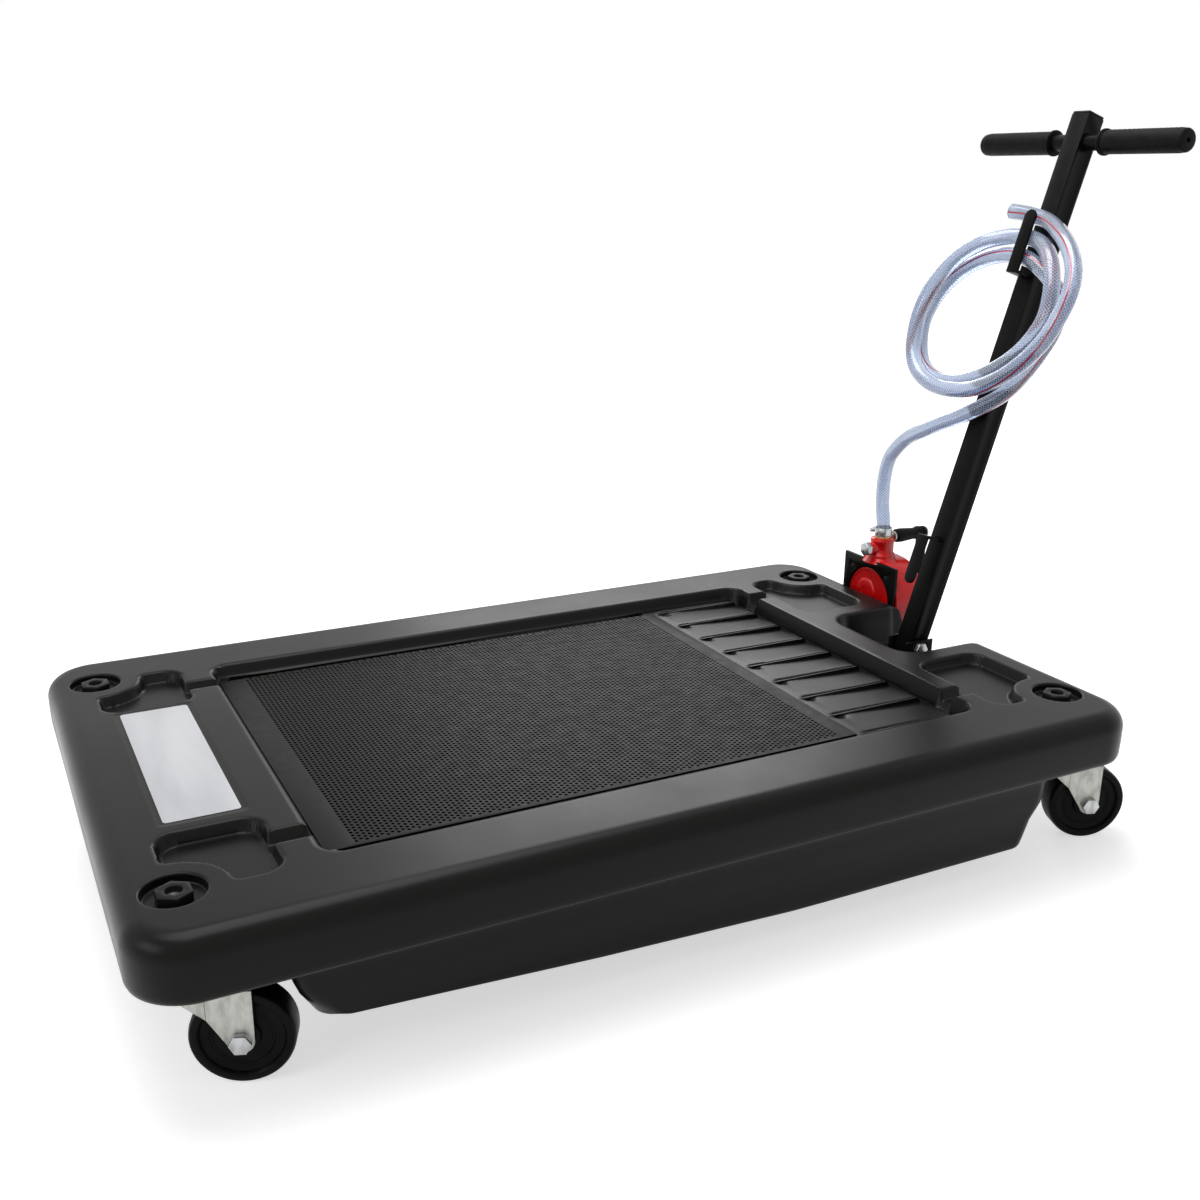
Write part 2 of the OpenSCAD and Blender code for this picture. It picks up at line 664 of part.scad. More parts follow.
// Pin that the crank grip turns on, with its round head
module crank_pin() in_frame() color("#c2c6cb") {
    rod_x([641, crank_x[1] + 2], pump_y, shaft_z + crank_r, 5);
    rod_x([640, 643], pump_y, shaft_z + crank_r, 8);
    rod_x([crank_x[1] - 2, crank_x[1] + 2], pump_y, shaft_z + crank_r, 8);
}

// Turned grip on the crank
module crank_grip() in_frame() color("#1d1e20")
    translate([0, pump_y, shaft_z + crank_r]) rotate([0, 90, 0]) rotate_extrude() polygon([
        [5 + running, 643.5], [9, 643.5], [10.5, 646], [11, 655], [10, 667], [9, 678],
        [9.5, 685], [11, 688], [11, 690], [9, crank_x[0] + 1.7], [5 + running, crank_x[0] + 1.7]]);

// Hose from the barb to the split beside the handle
module hose_riser() in_frame() color("#a9bccb")
    tube(riser_points, [0, 0, 1], [0, -1, 0], hose_r);

// Hose that the handle carries, in two loops over its upper hook
module hose_loops() in_frame() color("#a9bccb")
    tube(loop_points, [0, -1, 0], last_run(loop_points), hose_r);

tank_body();
drain_screen();
blank_label();
caster_stems();
caster_stem_nuts();
swivel_races();
for (k = [0:3]) {
    caster_fork(k);
    caster_axle(k);
    caster_nut(k);
    caster_wheel(k);
    wheel_bush(k);
}
handle_bracket();
bracket_bolts();
hinge_bolt();
hinge_nut();
hinge_washers();
handle_pole();
pole_cap();
cross_bar();
hand_grip(1);  // grip_left
hand_grip(-1);  // grip_right
hose_hook(upper_hook_s, upper_finger);  // hose_hook_upper
hose_hook(lower_hook_s, -lower_finger);  // hose_hook_lower
pump_plate();
plate_bolts();
pump_bolts();
pump_front_cover();
pump_body();
pump_rear_cover();
pump_outlet();
priming_plug();
hose_barb();
hose_clamp();
suction_pipe();
suction_flange();
shaft_seal();
pump_shaft();
pump_rotor();
pump_vanes();
crank_arm();
crank_nut();
crank_pin();
crank_grip();
hose_riser();
hose_loops();
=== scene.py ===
"""Finish of a wheeled oil drainer: moulded tank, screen, casters, handle, pump and hose."""

import math

import bmesh
import bpy
import numpy as np
from mathutils import Matrix, Vector


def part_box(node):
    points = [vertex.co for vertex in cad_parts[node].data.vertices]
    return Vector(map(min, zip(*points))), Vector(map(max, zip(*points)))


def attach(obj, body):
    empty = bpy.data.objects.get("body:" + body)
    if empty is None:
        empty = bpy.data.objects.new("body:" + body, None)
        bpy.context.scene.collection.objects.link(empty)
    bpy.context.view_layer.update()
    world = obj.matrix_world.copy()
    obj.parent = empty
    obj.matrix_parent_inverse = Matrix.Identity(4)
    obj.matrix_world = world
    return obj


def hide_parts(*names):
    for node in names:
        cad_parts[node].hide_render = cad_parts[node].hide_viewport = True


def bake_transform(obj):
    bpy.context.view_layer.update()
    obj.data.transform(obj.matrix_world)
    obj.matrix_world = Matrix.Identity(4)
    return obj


bl_info = {
    "name": "Oil Drainer Finish",
    "version": (1, 0, 0),
    "blender": (4, 5, 0),
    "location": "View3D > Sidebar > Drainer",
    "description": "Builds the finished surfaces of a wheeled oil drainer round its frame",
    "category": "Object",
}

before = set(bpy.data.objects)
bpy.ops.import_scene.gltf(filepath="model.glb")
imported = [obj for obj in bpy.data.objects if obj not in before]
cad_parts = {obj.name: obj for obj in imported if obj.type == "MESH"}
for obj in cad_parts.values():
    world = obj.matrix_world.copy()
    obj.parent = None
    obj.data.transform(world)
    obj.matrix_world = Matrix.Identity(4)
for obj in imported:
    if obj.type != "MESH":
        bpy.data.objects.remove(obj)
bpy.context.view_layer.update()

# Sizes are in millimetres from the deck's centre on the floor: x towards the handle, z up.
MM = 0.001
TANK_LOW, TANK_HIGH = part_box("tank_body")
DECK_CENTRE = (TANK_LOW.x + TANK_HIGH.x) / 2
HALF_L = (TANK_HIGH.x - TANK_LOW.x) / 2 / MM
HALF_W = (TANK_HIGH.y - TANK_LOW.y) / 2 / MM
DECK_Z = TANK_HIGH.z / MM
CORNER_R = 60
EDGE_R = 24
PLATE_Z = DECK_Z - 15
SHELF_Z = 146
SCREEN_X = -67.5
COLUMN_STEP = 5.5
CASTER_X = 543
CASTER_Y = 280
CASTERS = [(-CASTER_X, -CASTER_Y), (-CASTER_X, CASTER_Y), (CASTER_X, -CASTER_Y), (CASTER_X, CASTER_Y)]
CASTER_TURN = math.radians(-22)
TRAIL = 52
WHEEL_R = 50
LEAN = math.radians(17.6)
HINGE = (CASTER_X, 0, DECK_Z - 28)
BAR_S = 730
PUMP = (HALF_L, 171, 187)
SHAFT_Z = PUMP[2] + 8
OUTLET_X = 620
HOSE_R = 11

# Moulded features of the deck: x and y from low to high, and the corner radius
RECESS_TOP = (-408, 420, -280, 280, 30)
RECESS_FLOOR = (-404, 416, -276, 276, 26)
BASIN = (-385, 240, -264, 266, 12)
NOTCH = (454, 760, -92, 92, 42)
LABEL_SEAT = (-536, -446, -151, 165, 6)
POCKETS = ((-550, -436, 165, 288, 28), (442, 555, 116, 285, 28))
CHANNELS = ((-470, -390, 204, 236, 4), (396, 470, 204, 236, 4))
RECESS_DEPTH = 15
POCKET_DEPTH = 14
RIB_PITCH = 62.25
NUT_BOSS_R = 50
NUT_HOLE_R = 33
# A stem nut's round seat: radius and height of its rings, from the deck down
NUT_SEAT = (
    (31.2, 199.7), (30.3, 198.9), (30, 197.6), (29.8, 192), (29, 190.4), (27.5, 190), (8.3, 190), (8.3, 150),
)

# Hose route on the leaning handle: along the tube from its hinge, across, and out from its axis
LOOP_ROUTE = [
    (317, 57, 28), (335, 19, 28), (357, -19, 28), (380, -48, 28), (408, -66, 26), (438, -78, 23),
    (470, -86, 20.5), (500, -84, 20), (522, -71, 20), (540, -48, 22), (554, -25, 26), (563, 0, 27.5),
    (565, 26, 28), (562, 52, 28), (554, 80, 28.5), (536, 112, 29.5), (512, 136, 30), (482, 152, 30),
    (452, 156, 30), (420, 146, 30), (394, 126, 30), (380, 94, 30.5), (379, 52, 32), (392, 5, 36),
    (414, -39, 41), (442, -71, 45), (476, -90, 48), (505, -90, 49), (532, -81, 48), (557, -62, 42),
    (577, -35, 33), (588, -9, 28.5), (591, 17, 28), (588, 40, 34), (575, 69, 47), (551, 102, 53),
    (520, 125, 55), (487, 139, 55), (456, 142, 55), (418, 134, 55), (392, 118, 55.5), (376, 95, 56.5),
    (366, 61, 57.5), (365, 22, 59), (372, -19, 61), (391, -62, 64), (416, -96, 67), (446, -121, 69),
    (476, -133, 69), (509, -136, 66), (541, -125, 60), (568, -101, 52), (592, -67, 42),
    (613, -23, 30), (622, 18, 27.5), (625, 50, 28.5),
]
# Hose route from the pump up to the handle
RISER_ROUTE = [
    (620, 171, 286), (620, 171.4, 302), (620, 178, 338), (619.5, 178, 374), (618, 169, 407),
    (616, 151, 429), (613.5, 124, 450), (611, 90, 467),
]


# ---------------------------------------------------------------- settings


class DrainerDeck(bpy.types.PropertyGroup):
    """Sizes of the moulded deck."""

    lip: bpy.props.FloatProperty(
        name="Pocket lip", description="Radius of a pocket's lip, in mm", default=5.0, min=3, max=7
    )
    recess_lip: bpy.props.FloatProperty(
        name="Recess lip", description="Radius of the main recess's lip, in mm", default=8.0, min=5, max=10
    )
    fine: bpy.props.FloatProperty(
        name="Fine step", description="Mesh step round the pockets, in mm", default=2.6, min=2, max=5
    )
    colour: bpy.props.FloatVectorProperty(
        name="Plastic colour", description="Colour of the moulded plastic", subtype="COLOR",
        default=(0.0046, 0.0046, 0.0041),
    )


class DrainerScreen(bpy.types.PropertyGroup):
    """Sizes of the perforated screen."""

    pitch: bpy.props.FloatProperty(
        name="Pitch", description="Distance between neighbouring holes, in mm", default=6.4, min=5, max=9
    )
    hole: bpy.props.FloatProperty(
        name="Hole", description="Diameter of a drain hole, in mm", default=4.1, min=2, max=5
    )
    thickness: bpy.props.FloatProperty(
        name="Thickness", description="Thickness of the steel sheet, in mm", default=2.0, min=1, max=3
    )


class DrainerHose(bpy.types.PropertyGroup):
    """Sizes and colours of the hose."""

    wall: bpy.props.FloatProperty(
        name="Wall", description="Wall thickness of the hose, in mm", default=2.8, min=2, max=4
    )
    tint: bpy.props.FloatVectorProperty(
        name="Tint", description="Tint of the clear plastic", subtype="COLOR", default=(0.33, 0.42, 0.62)
    )
    tracer: bpy.props.FloatVectorProperty(
        name="Tracer", description="Colour of the tracer thread", subtype="COLOR", default=(0.45, 0.02, 0.05)
    )


class DrainerMetal(bpy.types.PropertyGroup):
    """Sizes and colours of the metalwork."""

    edge: bpy.props.FloatProperty(
        name="Edge", description="Rounding of pressed and turned edges, in mm", default=0.8, min=0.3, max=1.5
    )
    red: bpy.props.FloatVectorProperty(
        name="Pump red", description="Colour of the pump's gloss paint", subtype="COLOR",
        default=(0.66, 0.003, 0.004),
    )
    black: bpy.props.FloatVectorProperty(
        name="Frame black", description="Colour of the powder coat", subtype="COLOR",
        default=(0.0034, 0.0034, 0.0031),
    )


class DrainerStage(bpy.types.PropertyGroup):
    """Light and floor."""

    key: bpy.props.FloatProperty(
        name="Key light", description="Strength of the overhead light, in watts", default=50.0, min=1
    )
    sky: bpy.props.FloatProperty(
        name="Sky", description="Strength of the surrounding light", default=0.32, min=0
    )
    floor: bpy.props.FloatVectorProperty(
        name="Floor colour", description="Colour of the pale floor", subtype="COLOR", default=(0.8, 0.8, 0.8)
    )


# ---------------------------------------------------------------- mesh helpers


def to_frame(points):
    """Deck millimetres to the frame's metres."""
    moved = np.asarray(points, float).reshape(-1, 3) * MM
    moved[:, 0] += DECK_CENTRE
    return moved


def place(x, y, z):
    """One point of the frame from deck millimetres."""
    return Vector(to_frame([(x, y, z)])[0])


def along_handle(s, y, n):
    """Deck point at distance s along the handle tube, y across it and n out from its axis."""
    return (
        HINGE[0] + s * math.sin(LEAN) - n * math.cos(LEAN),
        y,
        HINGE[2] + s * math.cos(LEAN) + n * math.sin(LEAN),
    )


def smooth(mesh, degrees=32):
    """Smooth shading with sharp edges above an angle."""
    mesh.shade_smooth()
    mesh.set_sharp_from_angle(angle=math.radians(degrees))


def linked(name, data):
    """A new object in the scene."""
    item = bpy.data.objects.new(name, data)
    bpy.context.scene.collection.objects.link(item)
    return item


def add_object(name, mesh, material):
    """A new object that shows a mesh in one material."""
    mesh.materials.clear()
    mesh.materials.append(material)
    return linked(name, mesh)


def mesh_from(name, work):
    """A mesh from a bmesh, which ends there."""
    mesh = bpy.data.meshes.new(name)
    work.to_mesh(mesh)
    work.free()
    return mesh


def mesh_of(name, points, faces, degrees=32):
    """A mesh from deck points and faces, merged and with its normals outwards."""
    mesh = bpy.data.meshes.new(name)
    mesh.from_pydata([tuple(p) for p in to_frame(points)], [], [tuple(f) for f in faces])
    work = bmesh.new()
    work.from_mesh(mesh)
    bmesh.ops.remove_doubles(work, verts=work.verts, dist=0.00005)
    bmesh.ops.dissolve_degenerate(work, dist=0.00001, edges=work.edges)
    bmesh.ops.recalc_face_normals(work, faces=work.faces)
    work.to_mesh(mesh)
    work.free()
    smooth(mesh, degrees)
    return mesh


def finished(piece, body, slot, *nodes):
    """Puts a finished piece on its body, in place of the plain nodes."""
    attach(piece, body)
    if nodes:
        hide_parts(*nodes)
    return piece


def applied(piece):
    """Turns a piece's modifiers into plain mesh."""
    graph = bpy.context.evaluated_depsgraph_get()
    mesh = bpy.data.meshes.new_from_object(piece.evaluated_get(graph))
    piece.modifiers.clear()
    old, piece.data = piece.data, mesh
    bpy.data.meshes.remove(old)
    return piece


def ring_faces(rings, count, closed=True):
    """Quads between neighbouring rings of count points each."""
    steps = range(count if closed else count - 1)
    return [
        (a * count + k, a * count + (k + 1) % count, (a + 1) * count + (k + 1) % count, (a + 1) * count + k)
        for a in range(rings - 1)
        for k in steps
    ]


def lathe(profile, origin, axis, steps=48, spoke=None):
    """Points and faces of a turned shape: profile is (radius, height) pairs along an axis."""
    up = Vector(axis).normalized()
    side = (spoke or (Vector((1, 0, 0)) if abs(up.x) < 0.9 else Vector((0, 1, 0)))).normalized()
    side = (side - up * side.dot(up)).normalized()
    other = up.cross(side)
    points = []
    for radius, height in profile:
        for k in range(steps):
            a = math.tau * k / steps
            out = side * math.cos(a) + other * math.sin(a)
            points.append(tuple(Vector(origin) + up * height + out * radius))
    faces = ring_faces(len(profile), steps)
    if profile[0][0] > 0.01:
        faces.append(tuple(range(steps))[::-1])
    if profile[-1][0] > 0.01:
        faces.append(tuple(range((len(profile) - 1) * steps, len(profile) * steps)))
    return points, faces


def joined(*parts):
    """Several (points, faces) shapes as one."""
    points, faces = [], []
    for part_points, part_faces in parts:
        base = len(points)
        points.extend(part_points)
        faces.extend(tuple(i + base for i in f) for f in part_faces)
    return points, faces


def bevelled(piece, width, segments=2, degrees=30):
    """Rounds a piece's sharp edges by width millimetres."""
    bevel = piece.modifiers.new("edge", "BEVEL")
    bevel.width = width * MM
    bevel.segments = segments
    bevel.limit_method = "ANGLE"
    bevel.angle_limit = math.radians(degrees)
    bevel.use_clamp_overlap = True
    applied(piece)
    smooth(piece.data, 40)
    return piece


def prism(name, outline, to_point, low, high, material, edge=0.8):
    """A plate from an outline and two heights, with rounded edges."""
    points = [to_point(u, v, h) for h in (low, high) for u, v in outline]
    n = len(outline)
    faces = ring_faces(2, n) + [tuple(range(n))[::-1], tuple(range(n, 2 * n))]
    piece = add_object(name, mesh_of(name, points, faces), material)
    return bevelled(piece, edge, 3)


def softened(node, name, material, width=0.8):
    """A copy of a plain node with its flat faces joined and its edges rounded."""
    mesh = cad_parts[node].data.copy()
    work = bmesh.new()
    work.from_mesh(mesh)
    bmesh.ops.remove_doubles(work, verts=work.verts, dist=0.00002)
    bmesh.ops.dissolve_limit(work, angle_limit=math.radians(1), verts=work.verts, edges=work.edges)
    work.to_mesh(mesh)
    work.free()
    return bevelled(add_object(name, mesh, material), width)


def spline(points, per_step):
    """A smooth line through points, with per_step new points on each span."""
    pts = np.array(points, float)
    ends = np.vstack([2 * pts[0] - pts[1], pts, 2 * pts[-1] - pts[-2]])
    line = []
    for i in range(1, len(ends) - 2):
        a, b, c, d = ends[i - 1 : i + 3]
        square, cube = 2 * a - 5 * b + 4 * c - d, 3 * b - a - 3 * c + d
        for t in np.linspace(0, 1, per_step, endpoint=False):
            line.append(0.5 * (2 * b + (c - a) * t + square * t**2 + cube * t**3))
    line.append(pts[-1])
    return np.array(line)


# ---------------------------------------------------------------- materials


def material_named(name):
    """An empty node material, its shader and a maker of further nodes."""
    material = bpy.data.materials.new(name)
    material.use_nodes = True
    tree = material.node_tree
    shader = tree.nodes["Principled BSDF"]

    def add(kind, **values):
        node = tree.nodes.new(kind)
        for key, value in values.items():
            if hasattr(node, key):
                setattr(node, key, value)
            else:
                node.inputs[key.replace("_", " ")].default_value = value
        return node

    return material, tree, shader, add


def grain(tree, add, scale, detail=3.0, stretch=(1, 1, 1)):
    """Noise on the object's own coordinates, stretched along its axes."""
    where = add("ShaderNodeTexCoord")
    mapping = add("ShaderNodeMapping")
    mapping.inputs["Scale"].default_value = stretch
    noise = add("ShaderNodeTexNoise", Scale=scale, Detail=detail)
    tree.links.new(where.outputs["Object"], mapping.inputs["Vector"])
    tree.links.new(mapping.outputs["Vector"], noise.inputs["Vector"])
    return noise.outputs["Fac"]


def spread(tree, add, source, low, high, start=0.3, stop=0.7):
    """A value remapped from start..stop to low..high."""
    ranged = add("ShaderNodeMapRange")
    for key, value in (("From Min", start), ("From Max", stop), ("To Min", low), ("To Max", high)):
        ranged.inputs[key].default_value = value
    tree.links.new(source, ranged.inputs["Value"])
    return ranged.outputs["Result"]


def tinted(tree, add, source, dark, light, start=0.35, stop=0.65):
    """A colour that runs from dark to light with a value."""
    ramp = add("ShaderNodeValToRGB")
    ramp.color_ramp.elements[0].position = start
    ramp.color_ramp.elements[1].position = stop
    ramp.color_ramp.elements[0].color = (*dark, 1)
    ramp.color_ramp.elements[1].color = (*light, 1)
    tree.links.new(source, ramp.inputs["Fac"])
    return ramp.outputs["Color"]


def bumped(tree, add, shader, source, distance, strength=0.5):
    """Surface relief from a value, in metres."""
    bump = add("ShaderNodeBump", Strength=strength, Distance=distance)
    tree.links.new(source, bump.inputs["Height"])
    tree.links.new(bump.outputs["Normal"], shader.inputs["Normal"])


def scaled(colour, factor):
    """A colour made lighter or darker."""
    return tuple(min(1.0, c * factor) for c in colour)


def mottled(name, noise, colours, roughness, peel=None, patches=None, levels=None):
    """A material whose colour and roughness drift with noise, with fine relief and fixed shader levels."""
    material, tree, shader, add = material_named(name)
    cloud = grain(tree, add, *noise)
    tree.links.new(tinted(tree, add, cloud, *colours), shader.inputs["Base Color"])
    drift = grain(tree, add, *patches) if patches else cloud
    tree.links.new(spread(tree, add, drift, *roughness), shader.inputs["Roughness"])
    if peel:
        scale, detail, depth, strength = peel
        bumped(tree, add, shader, grain(tree, add, scale, detail), depth, strength)
    for key, value in (levels or {}).items():
        shader.inputs[key].default_value = value
    return material


def moulded_plastic(name, colour, rough=0.3):
    """Satin moulded plastic with a pebbled skin and faint flow streaks."""
    return mottled(
        name, (34.0, 4.0, (0.25, 1, 1)), (scaled(colour, 0.88), scaled(colour, 1.12)),
        (rough - 0.04, rough + 0.05), peel=(900.0, 2.0, 0.0001, 0.5), patches=(9.0,),
        levels={"Specular IOR Level": 0.12},
    )


def powder_coat(name, colour, rough=0.38):
    """Powder-coated steel with a fine orange peel."""
    return mottled(
        name, (60.0,), (scaled(colour, 0.8), scaled(colour, 1.25)), (rough - 0.05, rough + 0.06),
        peel=(1400.0, 2.0, 0.00006, 0.4), levels={"Specular IOR Level": 0.07},
    )


def gloss_paint(name, colour):
    """Thick gloss paint over a cast surface."""
    return mottled(
        name, (30.0, 5.0), (scaled(colour, 0.82), scaled(colour, 1.1)), (0.24, 0.34),
        peel=(420.0, 3.0, 0.00025, 0.5),
        levels={"Specular IOR Level": 0.3, "Coat Weight": 0.2, "Coat Roughness": 0.08},
    )


def zinc_plate(name, colour=(0.42, 0.42, 0.39), rough=0.34):
    """Zinc-plated pressed steel with soft spangle and scuffs."""
    return mottled(
        name, (120.0, 6.0, (1, 1, 0.4)), (scaled(colour, 0.72), scaled(colour, 1.15)),
        (rough - 0.08, rough + 0.14), peel=(700.0, 3.0, 0.00005, 0.4), levels={"Metallic": 0.85},
    )


def hard_rubber(name, colour=(0.006, 0.006, 0.006), rough=0.5):
    """Black rubber or nylon with a dull bloom."""
    return mottled(
        name, (80.0, 4.0), (scaled(colour, 0.7), scaled(colour, 1.6)), (rough - 0.08, rough + 0.1),
        peel=(1100.0, 2.0, 0.00008, 0.5), levels={"Specular IOR Level": 0.07},
    )


def bronze_metal(name):
    """Plain bronze."""
    colours = (0.4, 0.28, 0.12), (0.62, 0.46, 0.22)
    return mottled(name, (90.0,), colours, (0.25, 0.4), levels={"Metallic": 0.9})


def bare_label(name):
    """Blank silver-grey film with a fine satin grain."""
    colours = (0.46, 0.47, 0.49), (0.54, 0.55, 0.57)
    return mottled(name, (25.0, 3.0, (1, 0.2, 1)), colours, (0.3, 0.42), peel=(1500.0, 2.0, 0.00003, 0.3))


def braided_hose(name, tint, tracer):
    """Clear tube with a white diamond braid and one tracer thread, laid out on its own UV map."""
    material, tree, shader, add = material_named(name)
    uv = add("ShaderNodeUVMap", uv_map="lay")
    parts = add("ShaderNodeSeparateXYZ")
    tree.links.new(uv.outputs["UV"], parts.inputs["Vector"])

    def maths(operation, a, b=0.0):
        node = add("ShaderNodeMath", operation=operation)
        for socket, value in zip(node.inputs, (a, b)):
            if isinstance(value, float):
                socket.default_value = value
            else:
                tree.links.new(value, socket)
        return node.outputs["Value"]

    threads_per_metre, threads_around = 230.0, 14.0

    def threads(slant):
        lengthwise = maths("MULTIPLY", parts.outputs["X"], threads_per_metre)
        turns = maths("ADD", lengthwise, maths("MULTIPLY", parts.outputs["Y"], slant))
        return maths("ABSOLUTE", maths("SINE", maths("MULTIPLY", turns, math.pi)))

    mesh_lines = maths("MINIMUM", threads(threads_around), threads(-threads_around))
    braid = spread(tree, add, mesh_lines, 1.0, 0.0, 0.05, 0.42)
    body = tinted(tree, add, braid, tint, (0.8, 0.84, 0.92), 0.0, 1.0)
    winding = maths("ADD", maths("MULTIPLY", parts.outputs["X"], 0.7), parts.outputs["Y"])
    across = maths("ABSOLUTE", maths("SUBTRACT", maths("FRACT", maths("ADD", winding, 0.055)), 0.5))
    stripe = spread(tree, add, across, 1.0, 0.0, 0.013, 0.022)
    mix = add("ShaderNodeMix", data_type="RGBA")
    tree.links.new(stripe, mix.inputs["Factor"])
    tree.links.new(body, mix.inputs["A"])
    mix.inputs["B"].default_value = (*tracer, 1)
    tree.links.new(mix.outputs["Result"], shader.inputs["Base Color"])
    solid = maths("MAXIMUM", maths("MULTIPLY", braid, 0.6), stripe)
    tree.links.new(spread(tree, add, solid, 0.72, 0.05, 0.0, 1.0), shader.inputs["Transmission Weight"])
    shader.inputs["Roughness"].default_value = 0.08
    shader.inputs["IOR"].default_value = 1.42
    shader.inputs["Coat Weight"].default_value = 1.0
    shader.inputs["Coat Roughness"].default_value = 0.03
    bumped(tree, add, shader, mesh_lines, 0.0002, 0.35)
    return material


_materials = {}


def finish_of(key):
    """The shared material of that name, made when first asked for."""
    scene = bpy.context.scene
    if key not in _materials:
        deck, hose = scene.drainer_deck, scene.drainer_hose
        red, black = tuple(scene.drainer_metal.red), tuple(scene.drainer_metal.black)
        makers = {
            "deck": lambda: moulded_plastic("deck_plastic", tuple(deck.colour)),
            "black": lambda: powder_coat("frame_black", black),
            "screen": lambda: powder_coat("screen_black", scaled(black, 1.8), 0.42),
            "red": lambda: gloss_paint("pump_red", red),
            "zinc": lambda: zinc_plate("zinc_plate"),
            "fastener": lambda: zinc_plate("bright_fastener", (0.5, 0.51, 0.52), 0.26),
            "dark_nut": lambda: powder_coat("dark_fastener", (0.012, 0.012, 0.012), 0.34),
            "wheel": lambda: hard_rubber("wheel_nylon", (0.003, 0.003, 0.0028), 0.36),
            "rubber": lambda: hard_rubber("grip_rubber"),
            "cap": lambda: moulded_plastic("cap_plastic", (0.007, 0.007, 0.007), 0.45),
            "bronze": lambda: bronze_metal("bush_bronze"),
            "label": lambda: bare_label("label_film"),
            "hose": lambda: braided_hose("clear_hose", tuple(hose.tint), tuple(hose.tracer)),
        }
        _materials[key] = makers[key]()
    return _materials[key]


# ---------------------------------------------------------------- geometry node helpers


def node_tree(name, **inputs):
    """A geometry tree with named number inputs; returns it with a node maker and a linker."""
    tree = bpy.data.node_groups.new(name, "GeometryNodeTree")
    tree.interface.new_socket("Geometry", in_out="INPUT", socket_type="NodeSocketGeometry")
    for label, kind in inputs.items():
        tree.interface.new_socket(label, in_out="INPUT", socket_type=f"NodeSocket{kind}")
    tree.interface.new_socket("Geometry", in_out="OUTPUT", socket_type="NodeSocketGeometry")

    def add(kind, _props=None, **values):
        node = tree.nodes.new(kind)
        for key, value in (_props or {}).items():
            setattr(node, key, value)
        for key, value in values.items():
            socket = node.inputs[key.replace("_", " ")]
            if isinstance(value, bpy.types.NodeSocket):
                tree.links.new(value, socket)
            else:
                socket.default_value = value
        return node

    return tree, add, tree.links.new


def run_tree(piece, tree, **values):
    """Runs a geometry tree on a piece with its inputs set, and keeps the plain mesh."""
    modifier = piece.modifiers.new(tree.name, "NODES")
    modifier.node_group = tree
    ids = {s.name: s.identifier for s in tree.interface.items_tree if s.in_out == "INPUT"}
    for key, value in values.items():
        modifier[ids[key]] = value
    return applied(piece)


def end_tree(add, link, geometry, material):
    """Ends a tree with real geometry in one material."""
    real = add("GeometryNodeRealizeInstances")
    dress = add("GeometryNodeSetMaterial")
    dress.inputs["Material"].default_value = material
    out = add("NodeGroupOutput")
    link(geometry, real.inputs["Geometry"])
    link(real.outputs["Geometry"], dress.inputs["Geometry"])
    link(dress.outputs["Geometry"], out.inputs["Geometry"])


# ---------------------------------------------------------------- camera, hose and stage


def make_camera():
    """Camera at the side rail's corner, a little above the handle's middle."""
    stand = place(-675.1, -1369.5, 814.7)
    yaw, pitch, roll = 0.477, -0.315, 0.010
    ahead = Vector((math.sin(yaw) * math.cos(pitch), math.cos(yaw) * math.cos(pitch), math.sin(pitch)))
    right = Vector((math.cos(yaw), -math.sin(yaw), 0))
    above = right.cross(ahead)
    right, above = (
        right * math.cos(roll) + above * math.sin(roll),
        above * math.cos(roll) - right * math.sin(roll),
    )
    data = bpy.data.cameras.new("Camera")
    data.sensor_width = 36
    data.lens = 38.78
    data.clip_start = 0.05
    camera = linked("Camera", data)
    turn = Matrix((right, above, -ahead)).transposed()
    camera.matrix_world = Matrix.Translation(stand) @ turn.to_4x4()
    bpy.context.scene.camera = camera
    return camera


def area_light(name, at, aim, size, power, size_y=None):
    """A soft rectangular light."""
    data = bpy.data.lights.new(name, "AREA")
    data.shape = "RECTANGLE"
    data.size = size
    data.size_y = size_y or size
    data.energy = power
    lamp = linked(name, data)
    lamp.location = Vector(at)
    lamp.rotation_euler = (Vector(aim) - Vector(at)).to_track_quat("-Z", "Y").to_euler()
    return lamp


def seen_white(tree):
    """One where the eye, a mirror or clear plastic sees a surface, and nought elsewhere."""
    path = tree.nodes.new("ShaderNodeLightPath")
    seen = path.outputs["Is Camera Ray"]
    for ray in ("Is Glossy Ray", "Is Transmission Ray"):
        greater = tree.nodes.new("ShaderNodeMath")
        greater.operation = "MAXIMUM"
        tree.links.new(seen, greater.inputs[0])
        tree.links.new(path.outputs[ray], greater.inputs[1])
        seen = greater.outputs["Value"]
    return seen


